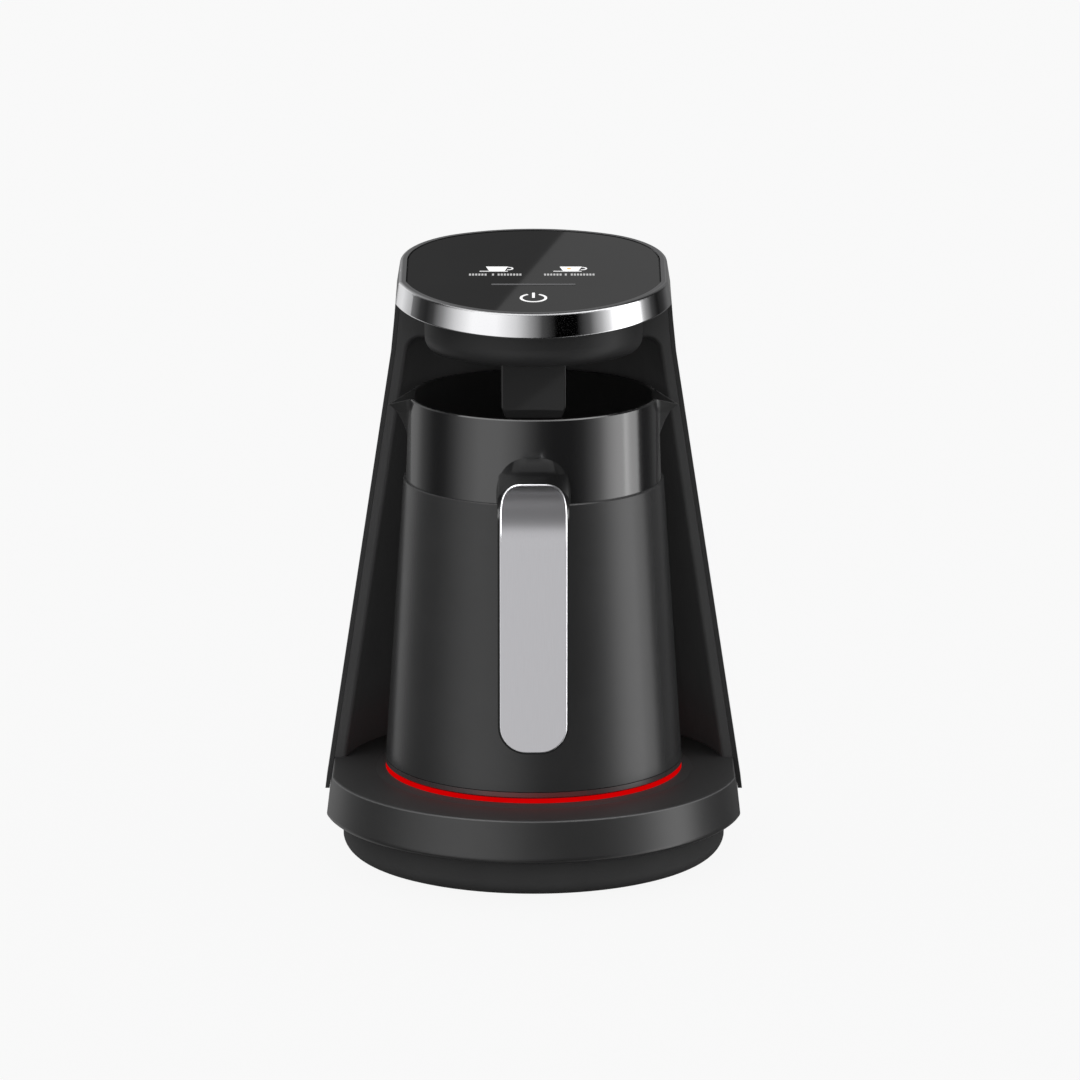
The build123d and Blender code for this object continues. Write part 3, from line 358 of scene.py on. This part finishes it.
def light_ring_spill():
    """Red glow of the lit ring on the pot's foot."""
    foot = picked("pot_base_cover")
    size = (1.8, 0.2)
    spill = softbox("ring_spill", azimuth=0, elevation=1, size=size, radiance=4.0, only=foot, aim=POT_FOOT)
    spill.data.color = RING_RED
    shaded_by(spill, foot)


def light_root():
    softbox("root_card", azimuth=0, elevation=60, size=(0.5, 0.35), radiance=4.0, only=picked("handle_body"))


def light_under_head():
    below = picked("head_housing", "sensor_arm")
    under = softbox("under_card", azimuth=0, elevation=-30, size=(1.2, 0.6), radiance=0.8, only=below)
    shaded_by(under, picked("chrome_ring"))


def light_recess():
    """Fill from both sides into the tower's recess, which the machine shades and the pot doesn't."""
    machine = picked(*frame["record"]["behaviour"]["bodies"]["machine"])
    liner = picked("tower_liner")
    for side, azimuth in (("left", -RECESS_AZIMUTH), ("right", RECESS_AZIMUTH)):
        name = "recess_fill_" + side
        fill = softbox(name, azimuth, elevation=6, size=(0.6, 0.6), radiance=1.6, only=liner, distance=0.8)
        shaded_by(fill, machine)


def light_edges():
    """Slanting edge of a reflection on the glass and on the sensor's arm."""
    edge_card(
        "glass_card",
        y=0.55,
        start=(0.0139, 0.4528),
        end=(-0.0185, 0.494),
        size=(0.7, 0.5),
        radiance=0.17,
        only=picked("glass_panel"),
    )
    edge_card(
        "arm_card",
        y=-0.6,
        start=(0.0136, 0.0745),
        end=(-0.0114, 0.0548),
        size=(0.4, 0.3),
        radiance=0.4,
        only=picked("sensor_arm"),
    )


def make_lights(bead):
    light_plate()
    light_from_above()
    light_strips()
    light_bead(bead)
    light_ring_spill()
    light_root()
    light_under_head()
    light_recess()
    light_edges()


# ---------------------------------------------------------------- mesh helpers
def mesh_object(name, bm, material):
    mesh = bpy.data.meshes.new(name)
    bm.to_mesh(mesh)
    bm.free()
    piece = bpy.data.objects.new(name, mesh)
    mesh.materials.append(material)
    bpy.context.scene.collection.objects.link(piece)
    return piece


# ---------------------------------------------------------------- finishes
def new_finish(name):
    mat = bpy.data.materials.new(name)
    mat.use_nodes = True
    shader = mat.node_tree.nodes["Principled BSDF"]
    return mat, shader


def noise(tree, size, detail=2.0, stretch=(1.0, 1.0, 1.0)):
    """Noise in object space whose features are about size metres across."""
    place = tree.nodes.new("ShaderNodeTexCoord")
    mapping = tree.nodes.new("ShaderNodeMapping")
    pattern = tree.nodes.new("ShaderNodeTexNoise")
    mapping.inputs["Scale"].default_value = stretch
    pattern.inputs["Scale"].default_value = 1.0 / size
    pattern.inputs["Detail"].default_value = detail
    tree.links.new(place.outputs["Object"], mapping.inputs["Vector"])
    tree.links.new(mapping.outputs["Vector"], pattern.inputs["Vector"])
    return pattern.outputs["Fac"]


def tint(tree, shader, pattern, dark, light):
    """Base colour that goes from one tone to another with a pattern."""
    mix = tree.nodes.new("ShaderNodeMix")
    mix.data_type = "RGBA"
    mix.inputs["A"].default_value = (*dark, 1.0)
    mix.inputs["B"].default_value = (*light, 1.0)
    tree.links.new(pattern, mix.inputs["Factor"])
    tree.links.new(mix.outputs["Result"], shader.inputs["Base Color"])


def drift(tree, shader, pattern, tone, share):
    """Base colour that strays from a tone by a share, darker and lighter."""
    tint(tree, shader, pattern, tuple(c * (1 - share) for c in tone), tuple(c * (1 + share) for c in tone))


def vary_roughness(tree, shader, pattern, low, high):
    tree.links.new(ranged(tree, pattern, low, high), shader.inputs["Roughness"])


GLOSS_SPREAD = 0.03


def uneven_gloss(tree, shader, size, roughness, spread=GLOSS_SPREAD):
    """Roughness that strays a little over patches of a size."""
    vary_roughness(tree, shader, noise(tree, size), roughness - spread, roughness + spread)


def grain(tree, shader, pattern, height):
    bump = tree.nodes.new("ShaderNodeBump")
    bump.inputs["Strength"].default_value = 1.0
    bump.inputs["Distance"].default_value = height
    tree.links.new(pattern, bump.inputs["Height"])
    tree.links.new(bump.outputs["Normal"], shader.inputs["Normal"])


DRIFT_SIZE = 18 * MM
DRIFT_DETAIL = 3.0
DRIFT_SHARE = 0.14
PATCH_SIZE = 7 * MM
GRAIN_SIZE = 0.35 * MM
GRAIN_HEIGHT = 0.006 * MM
RIB_DRIFT_SHARE = 0.12
RIB_SIZE = 1.1 * MM
RIB_STRETCH = (1.0, 1.0, 0.02)
RIB_HEIGHT = 0.05 * MM


def moulded_plastic(name, tone, roughness, shine=0.5):
    """Moulded plastic: fine grain, faint colour drift and slightly uneven gloss."""
    mat, shader = new_finish(name)
    tree = mat.node_tree
    drift(tree, shader, noise(tree, DRIFT_SIZE, DRIFT_DETAIL), tone, DRIFT_SHARE)
    uneven_gloss(tree, shader, PATCH_SIZE, roughness)
    grain(tree, shader, noise(tree, GRAIN_SIZE), GRAIN_HEIGHT)
    shader.inputs["Specular IOR Level"].default_value = shine
    return mat


def ribbed_plastic(name, tone, roughness):
    """Dull black plastic with fine upright ribs."""
    mat, shader = new_finish(name)
    tree = mat.node_tree
    drift(tree, shader, noise(tree, DRIFT_SIZE, DRIFT_DETAIL), tone, RIB_DRIFT_SHARE)
    uneven_gloss(tree, shader, PATCH_SIZE, roughness)
    grain(tree, shader, noise(tree, RIB_SIZE, 1.0, stretch=RIB_STRETCH), RIB_HEIGHT)
    shader.inputs["Specular IOR Level"].default_value = 0.3
    return mat


def gloss_coat(name, tone, roughness, coat, coat_roughness):
    """Black plastic with a clear gloss over it."""
    mat, shader = new_finish(name)
    tree = mat.node_tree
    drift(tree, shader, noise(tree, 25 * MM), tone, 0.1)
    uneven_gloss(tree, shader, 9 * MM, roughness)
    shader.inputs["Specular IOR Level"].default_value = 0.15
    shader.inputs["Coat Weight"].default_value = coat
    shader.inputs["Coat Roughness"].default_value = coat_roughness
    return mat


def polished_chrome(name):
    mat, shader = new_finish(name)
    tree = mat.node_tree
    shader.inputs["Metallic"].default_value = 1.0
    tint(tree, shader, noise(tree, 15 * MM), (0.82, 0.82, 0.84), (0.88, 0.88, 0.89))
    uneven_gloss(tree, shader, 5 * MM, 0.07, 0.02)
    return mat


SATIN_SIZE = 0.25 * MM
SATIN_STRETCH = (1.0, 1.0, 0.03)
SATIN_HEIGHT = 0.001 * MM
SHEEN_SIZE = 0.4 * MM
SHEEN_STRETCH = (1.0, 1.0, 0.05)


def satin_metal(name, tone, roughness):
    """Metal with a fine satin that runs up and down the piece."""
    mat, shader = new_finish(name)
    tree = mat.node_tree
    shader.inputs["Metallic"].default_value = 1.0
    streaks = noise(tree, SATIN_SIZE, 3.0, stretch=SATIN_STRETCH)
    sheen = noise(tree, SHEEN_SIZE, stretch=SHEEN_STRETCH)
    drift(tree, shader, streaks, tone, 0.05)
    vary_roughness(tree, shader, sheen, roughness - 0.05, roughness + 0.05)
    grain(tree, shader, streaks, SATIN_HEIGHT)
    return mat


# how far a face looks up, and its tone there: side, edge with a painted highlight, and top with painted shade
COVER_TONES_WITH_PAINTED_LIGHT = ((0.2, 0.034), (0.5, 0.11), (0.8, 0.02))


def cover_plastic(name, side_roughness, top_roughness):
    """Black plastic with a dull top face darkened by painted shade, and a painted highlight on the edge where
    the face turns over.
    """
    mat, shader = new_finish(name)
    tree = mat.node_tree
    link = tree.links.new
    facing = tree.nodes.new("ShaderNodeNewGeometry")
    upward = axes_of(tree, facing.outputs["Normal"])["Z"]
    # tone by how far the face looks up: a painted highlight on the rounded edge and painted shade on the top
    tones_and_painted_light = tree.nodes.new("ShaderNodeValToRGB")
    stops = tones_and_painted_light.color_ramp.elements
    stops.new(COVER_TONES_WITH_PAINTED_LIGHT[1][0])
    for stop, (place, tone) in zip(stops, COVER_TONES_WITH_PAINTED_LIGHT):
        stop.position = place
        stop.color = (tone, tone, tone * 1.01, 1.0)
    patches = noise(tree, DRIFT_SIZE, DRIFT_DETAIL)
    shade = tree.nodes.new("ShaderNodeMix")
    shade.data_type = "RGBA"
    shade.blend_type = "MULTIPLY"
    shade.inputs["Factor"].default_value = 1.0
    link(upward, tones_and_painted_light.inputs["Fac"])
    link(tones_and_painted_light.outputs["Color"], shade.inputs["A"])
    link(ranged(tree, patches, 1 - DRIFT_SHARE, 1 + DRIFT_SHARE), shade.inputs["B"])
    link(shade.outputs["Result"], shader.inputs["Base Color"])
    vary_roughness(tree, shader, upward, side_roughness, top_roughness)
    grain(tree, shader, noise(tree, GRAIN_SIZE), GRAIN_HEIGHT)
    shader.inputs["Specular IOR Level"].default_value = 0.55
    return mat


def lit_ring(name):
    """Translucent red ring lit from below, a little uneven along its length."""
    mat, shader = new_finish(name)
    tree = mat.node_tree
    glow = tree.nodes.new("ShaderNodeMix")
    glow.data_type = "RGBA"
    glow.inputs["A"].default_value = (0.52, 0.0, 0.0, 1.0)
    glow.inputs["B"].default_value = (0.62, 0.0, 0.001, 1.0)
    tree.links.new(noise(tree, 9 * MM), glow.inputs["Factor"])
    tree.links.new(glow.outputs["Result"], shader.inputs["Emission Color"])
    tint(tree, shader, noise(tree, 4 * MM), (0.02, 0.0, 0.0), (0.03, 0.001, 0.001))
    shader.inputs["Roughness"].default_value = 0.6
    shader.inputs["Specular IOR Level"].default_value = 0.0
    shader.inputs["Emission Strength"].default_value = 1.0
    return mat


def back_painted_glass(name):
    """Clear glass with black paint behind it: one sharp gloss, barely uneven."""
    mat, shader = new_finish(name)
    tree = mat.node_tree
    tint(tree, shader, noise(tree, 30 * MM), (0.006, 0.006, 0.0062), (0.009, 0.009, 0.0092))
    uneven_gloss(tree, shader, 12 * MM, 0.03, 0.01)
    return mat


BEAK_FADE = (45.5 * MM, 47.5 * MM)  # from the collar's polish to the beaks' dull flanks with painted shade, along X
# near black of the dull coat inside the pot, and painted shade on the beaks' flanks
COAT_AND_SHADE_BLACK = (0.001, 0.001, 0.001)
COLLAR_BLACK = (0.014, 0.014, 0.0145)


def vessel_black(name):
    """Polished black on the collar; a dull coat on faces that look at the pot's axis, and dull beaks darkened
    by painted shade.
    """
    mat, shader = new_finish(name)
    tree = mat.node_tree
    place = tree.nodes.new("ShaderNodeTexCoord")
    facing = tree.nodes.new("ShaderNodeNewGeometry")
    flat = tree.nodes.new("ShaderNodeVectorMath")
    outward = tree.nodes.new("ShaderNodeVectorMath")
    flat.operation = "MULTIPLY"
    flat.inputs[1].default_value = (1.0, 1.0, 0.0)
    outward.operation = "DOT_PRODUCT"
    tree.links.new(place.outputs["Object"], flat.inputs[0])
    tree.links.new(flat.outputs["Vector"], outward.inputs[0])
    tree.links.new(facing.outputs["Normal"], outward.inputs[1])
    outside = math_node(tree, "GREATER_THAN", outward.outputs["Value"], 0.0)
    sideways = math_node(tree, "ABSOLUTE", axes_of(tree, place.outputs["Object"])["X"])
    collar = ranged(tree, sideways, 1.0, 0.0, *BEAK_FADE)
    polished_and_unshaded = math_node(tree, "MULTIPLY", collar, outside)
    # the beaks' flanks take the near black as painted shade, the inside faces as their dull coat
    tint(tree, shader, polished_and_unshaded, COAT_AND_SHADE_BLACK, COLLAR_BLACK)
    vary_roughness(tree, shader, polished_and_unshaded, 0.9, 0.15)
    shader.inputs["Specular IOR Level"].default_value = 1.0
    grain(tree, shader, noise(tree, 0.4 * MM), 0.003 * MM)
    return mat


def printed_mark(name, tone, glow):
    """Print of the touch panel, lit a little."""
    mat, shader = new_finish(name)
    tree = mat.node_tree
    tint(tree, shader, noise(tree, 1 * MM), tuple(c * 0.95 for c in tone), tone)
    shader.inputs["Roughness"].default_value = 0.5
    shader.inputs["Emission Color"].default_value = (*tone, 1.0)
    shader.inputs["Emission Strength"].default_value = glow
    return mat


def circuit_green(name):
    mat, shader = new_finish(name)
    tree = mat.node_tree
    tint(tree, shader, noise(tree, 1.5 * MM, 1.0), (0.01, 0.07, 0.03), (0.03, 0.16, 0.07))
    vary_roughness(tree, shader, noise(tree, 3 * MM), 0.3, 0.45)
    return mat


def dress(material, *names):
    """Gives CAD nodes their finish."""
    for name in names:
        node = nodes[name]
        if not node.material_slots:
            node.data.materials.append(material)
        for slot in node.material_slots:
            slot.material = material


def dress_nodes():
    """Moulded and ribbed plastics and satin metals are given a tone and a roughness, some plastics a shine."""
    dress(moulded_plastic("plinth_black", (0.062, 0.062, 0.0625), 0.65, 0.12), "base_plinth")
    dress(cover_plastic("cover_black", 0.28, 0.5), "base_cover", "coupler_base")
    dress(moulded_plastic("shell_black", (0.026, 0.026, 0.0265), 0.36), "rear_shell")
    dress(ribbed_plastic("liner_black", (0.045, 0.045, 0.0455), 0.6), "tower_liner")
    dress(moulded_plastic("housing_black", (0.032, 0.032, 0.0325), 0.42, 0.2), "head_housing")
    jacket_black = moulded_plastic("jacket_black", (0.036, 0.036, 0.0365), 0.25, 0.43)
    dress(jacket_black, "pot_jacket", "pot_base_cover")
    dress(moulded_plastic("coupler_black", (0.02, 0.02, 0.021), 0.5), "pot_coupler", "relay", "buzzer")
    dress(vessel_black("vessel_black"), "pot_vessel")
    dress(back_painted_glass("panel_glass"), "glass_panel")
    dress(gloss_coat("arm_black", (0.016, 0.016, 0.0162), 0.08, 0.3, 0.03), "sensor_arm", "sensor_lens")
    dress(moulded_plastic("handle_black", (0.011, 0.011, 0.0113), 0.17, 0.5), "handle_body")
    dress(polished_chrome("chrome_trim"), "chrome_ring")
    dress(satin_metal("insert_satin", (0.66, 0.655, 0.68), 0.34), "handle_insert")
    dress(satin_metal("screw_steel", (0.5, 0.5, 0.52), 0.3), "base_screws", "tower_screws", "board_screws")
    element_steel = satin_metal("element_steel", (0.42, 0.42, 0.44), 0.38)
    dress(element_steel, "heating_element", "temp_sensor", "pot_screws")
    dress(satin_metal("bracket_steel", (0.5, 0.5, 0.52), 0.4), "handle_bracket", "heater_plate")
    dress(satin_metal("contact_brass", (0.75, 0.55, 0.25), 0.25), "contact_rings", "earth_pin")
    dress(lit_ring("ring_light"), "light_ring")
    dress(circuit_green("board_green"), "led_board", "power_board", "touch_board", "sensor_board")
    dress(moulded_plastic("transformer_yellow", (0.5, 0.4, 0.06), 0.45), "transformer")
    dress(moulded_plastic("chip_white", (0.8, 0.8, 0.72), 0.35), "leds", "thermal_fuse")
    dress(moulded_plastic("foot_rubber", (0.012, 0.012, 0.012), 0.75), "rubber_feet", "cord_gland")


# ---------------------------------------------------------------- marks on the touch panel
PANEL_TILT = math.radians(6.75)
PANEL_Z = 223.1 * MM  # height of the glass at the pot's axis
MARK_LIFT = 0.05 * MM
MARK_THICKNESS = 0.04 * MM

# places and sizes in mm on the panel, X across and Y up its slope from the pot's axis; angles in degrees
CUP_PLACES = (-13.6, 13.8)
CUP_Y = 3.1
CUP_SIZE = (8.2, 5.2)  # width at the brim and height
CUP_TAPER = 2.5  # how much narrower the cup is at its foot
SAUCER_PLACE = (-1.2, -3.0)  # from the cup's middle, as are the ear's and the cream's
SAUCER_SIZE = (10.5, 0.6)
EAR_PLACE = (4.3, 0.3)
EAR_RADIUS = 1.5
EAR_STROKE = 0.6
EAR_ANGLES = (-110, 100)
CREAM_PLACE = (-0.6, 0.0)
CREAM_RADIUS = 0.8
CREAM_SEGMENTS = 20
CREAM_LIFT = 0.06  # over the cup's print
TICK_Y = -4.0
TICK_SIZE = (0.75, 2.3)
TICK_STEP = 1.15
TICK_ROWS = ((-23.9, -17.0), (-15.4, -14.9), (-13.3, -5.0), (3.9, 10.0), (11.6, 12.1), (13.8, 22.0))
DIVIDER_Y = -15.8
DIVIDER_SIZE = (31.0, 1.5)
POWER_Y = -32.0
POWER_RADIUS = 4.55
POWER_STROKE = 1.0
POWER_ANGLES = (117, 423)
POWER_STEPS = 48
POWER_STEM_RISE = 3.1
POWER_STEM_SIZE = (1.0, 6.0)


def panel_matrix():
    """From millimetres on the panel to the frame: X across, Y up the slope."""
    turn = Matrix.Rotation(PANEL_TILT, 4, "X")
    return Matrix.Translation((0.0, 0.0, PANEL_Z)) @ turn @ Matrix.Scale(MM, 4)


def mark_bar(bm, x, y, width, height, taper=0.0):
    """Flat bar on the panel; taper narrows its lower side."""
    made = bmesh.ops.create_grid(bm, x_segments=1, y_segments=1, size=0.5)
    for vert in made["verts"]:
        across = width - (taper if vert.co.y < 0 else 0.0)
        vert.co = Vector((x + vert.co.x * across, y + vert.co.y * height, 0.0))


def mark_arc(bm, x, y, radius, stroke, start, end, steps=24):
    """Arc stroke: a short radial edge spun about the arc's centre, angles in degrees from +X."""
    a = math.radians(start)
    along = Vector((math.cos(a), math.sin(a), 0.0))
    centre = Vector((x, y, 0.0))
    inner = bm.verts.new(centre + along * (radius - stroke / 2))
    outer = bm.verts.new(centre + along * (radius + stroke / 2))
    edge = bm.edges.new((inner, outer))
    bmesh.ops.spin(
        bm,
        geom=[inner, outer, edge],
        cent=centre,
        axis=(0.0, 0.0, 1.0),
        angle=math.radians(end - start),
        steps=steps,
        use_merge=False,
        use_duplicate=False,
    )


def finish_marks(name, bm, material):
    """Turns flat marks face up, gives them their thickness and lays them on the glass."""
    bmesh.ops.recalc_face_normals(bm, faces=bm.faces)
    for face in bm.faces:
        if face.normal.z < 0:
            face.normal_flip()
    bmesh.ops.solidify(bm, geom=bm.faces[:], thickness=MARK_THICKNESS / MM)
    bmesh.ops.translate(bm, verts=bm.verts, vec=(0.0, 0.0, (MARK_LIFT + MARK_THICKNESS) / MM))
    bmesh.ops.transform(bm, matrix=panel_matrix(), verts=bm.verts)
    piece = mesh_object(name, bm, material)
    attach(piece, "machine")


def make_cups_and_power():
    bm = bmesh.new()
    for x in CUP_PLACES:
        mark_bar(bm, x, CUP_Y, *CUP_SIZE, taper=CUP_TAPER)
        mark_bar(bm, x + SAUCER_PLACE[0], CUP_Y + SAUCER_PLACE[1], *SAUCER_SIZE)
        mark_arc(bm, x + EAR_PLACE[0], CUP_Y + EAR_PLACE[1], EAR_RADIUS, EAR_STROKE, *EAR_ANGLES)
    mark_arc(bm, 0.0, POWER_Y, POWER_RADIUS, POWER_STROKE, *POWER_ANGLES, steps=POWER_STEPS)
    mark_bar(bm, 0.0, POWER_Y + POWER_STEM_RISE, *POWER_STEM_SIZE)
    finish_marks("panel_marks", bm, printed_mark("mark_white", (0.9, 0.9, 0.9), 0.55))


def make_ticks():
    """Rows of plain ticks under the cups."""
    bm = bmesh.new()
    for left, right in TICK_ROWS:
        for number in range(int((right - left) / TICK_STEP) + 1):
            mark_bar(bm, left + TICK_SIZE[0] / 2 + number * TICK_STEP, TICK_Y, *TICK_SIZE)
    finish_marks("panel_ticks", bm, printed_mark("mark_pale", (0.5, 0.5, 0.5), 0.4))


def make_divider():
    bm = bmesh.new()
    mark_bar(bm, 0.0, DIVIDER_Y, *DIVIDER_SIZE)
    finish_marks("panel_divider", bm, printed_mark("mark_grey", (0.16, 0.16, 0.165), 0.12))


def make_cream_dot():
    """Amber dot on the right-hand cup."""
    bm = bmesh.new()
    bmesh.ops.create_circle(bm, cap_ends=True, segments=CREAM_SEGMENTS, radius=CREAM_RADIUS)
    place = (CUP_PLACES[1] + CREAM_PLACE[0], CUP_Y + CREAM_PLACE[1], CREAM_LIFT)
    bmesh.ops.translate(bm, verts=bm.verts, vec=place)
    finish_marks("panel_cream_dot", bm, printed_mark("mark_amber", (0.9, 0.45, 0.1), 0.5))


# ---------------------------------------------------------------- bright bead round the handle's plate
# lengths in mm, angles in degrees
BEND = 20.0  # radius of the handle's bend
PLATE_RISE = 19.82  # from the bend's centre up to the plate's upper end
PLATE_HALF = 12.25  # half of the plate's width
PLATE_FLAT = 4.55  # half of the straight stretch at the plate's upper end
PLATE_FOOT_ROUND = 9.85
PLATE_END_LEAN = 25.0  # how far the plate's oval upper end leans forward
PLATE_END_TOP = 6.5  # round the bend from its top to the plate's upper end
PLATE_END_LENGTH = 16.0  # of the oval end, from its straight sides to its top
BEAD_RADIUS = 0.4
BEAD_PROUD = 0.3  # how far the bead's middle rises to the plate's face where it goes over the bend
FOOT_STEPS = 8
SIDE_STEPS = 8
END_STEPS = 12
QUARTER = math.pi / 2


def bead_path():
    """Middle line of the bead, from the foot's middle up the right side to the top's middle, in mm."""
    low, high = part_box("handle_insert")
    flat_y = low[1] / MM + BEAD_RADIUS
    foot_z = low[2] / MM + BEAD_RADIUS
    centre_y = low[1] / MM + BEND
    centre_z = high[2] / MM - PLATE_RISE
    half = PLATE_HALF - BEAD_RADIUS
    foot_round = PLATE_FOOT_ROUND - BEAD_RADIUS
    lean = math.radians(PLATE_END_LEAN)
    top = BEND * math.sin(lean - math.radians(PLATE_END_TOP)) - BEAD_RADIUS
    side = top - PLATE_END_LENGTH

    def on_bend(x, around):
        """Point at an angle from the bend's top; the bead comes proud over the bend's lower half."""
        proud = BEAD_PROUD * min(1.0, 2.0 * (1.0 - around / QUARTER))
        radius = BEND - BEAD_RADIUS + proud
        return (x, centre_y - radius * math.sin(around), centre_z + radius * math.cos(around))

    def on_end(x, along):
        """Point of the oval end, at a distance up its leaning plane."""
        return on_bend(x, lean - math.asin(along / BEND))

    path = [(0.0, flat_y, foot_z)]
    for step in range(FOOT_STEPS + 1):
        a = QUARTER * step / FOOT_STEPS
        x = half - foot_round + foot_round * math.sin(a)
        path.append((x, flat_y, foot_z + foot_round * (1 - math.cos(a))))
    side_around = lean - math.asin(side / BEND)
    for step in range(SIDE_STEPS + 1):
        path.append(on_bend(half, QUARTER + (side_around - QUARTER) * step / SIDE_STEPS))
    for step in range(1, END_STEPS + 1):
        a = QUARTER * step / END_STEPS
        x = PLATE_FLAT + (half - PLATE_FLAT) * math.cos(a)
        path.append(on_end(x, side + PLATE_END_LENGTH * math.sin(a)))
    path.append(on_end(0.0, top))
    return path


def make_insert_bead():
    """Bright bead that fills the chamfer of the plate's rim and stands a little proud on the bend."""
    right = bead_path()
    left = [(-x, y, z) for x, y, z in reversed(right[1:-1])]
    curve = bpy.data.curves.new("handle_insert_bead", "CURVE")
    curve.dimensions = "3D"
    curve.bevel_depth = BEAD_RADIUS * MM
    curve.bevel_resolution = 3
    spline = curve.splines.new("POLY")
    points = right + left
    spline.points.add(len(points) - 1)
    for point, (x, y, z) in zip(spline.points, points):
        point.co = (x * MM, y * MM, z * MM, 1.0)
    spline.use_cyclic_u = True
    spline.use_smooth = True
    curve.materials.append(satin_metal("insert_bright_edge", (0.8, 0.8, 0.82), 0.3))
    bead = bpy.data.objects.new("handle_insert_bead", curve)
    bpy.context.scene.collection.objects.link(bead)
    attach(bead, "pot")
    return bead


# ---------------------------------------------------------------- assembly
make_camera()
make_world()
make_floor()
dress_nodes()
make_cups_and_power()
make_ticks()
make_divider()
make_cream_dot()
make_lights(make_insert_bead())
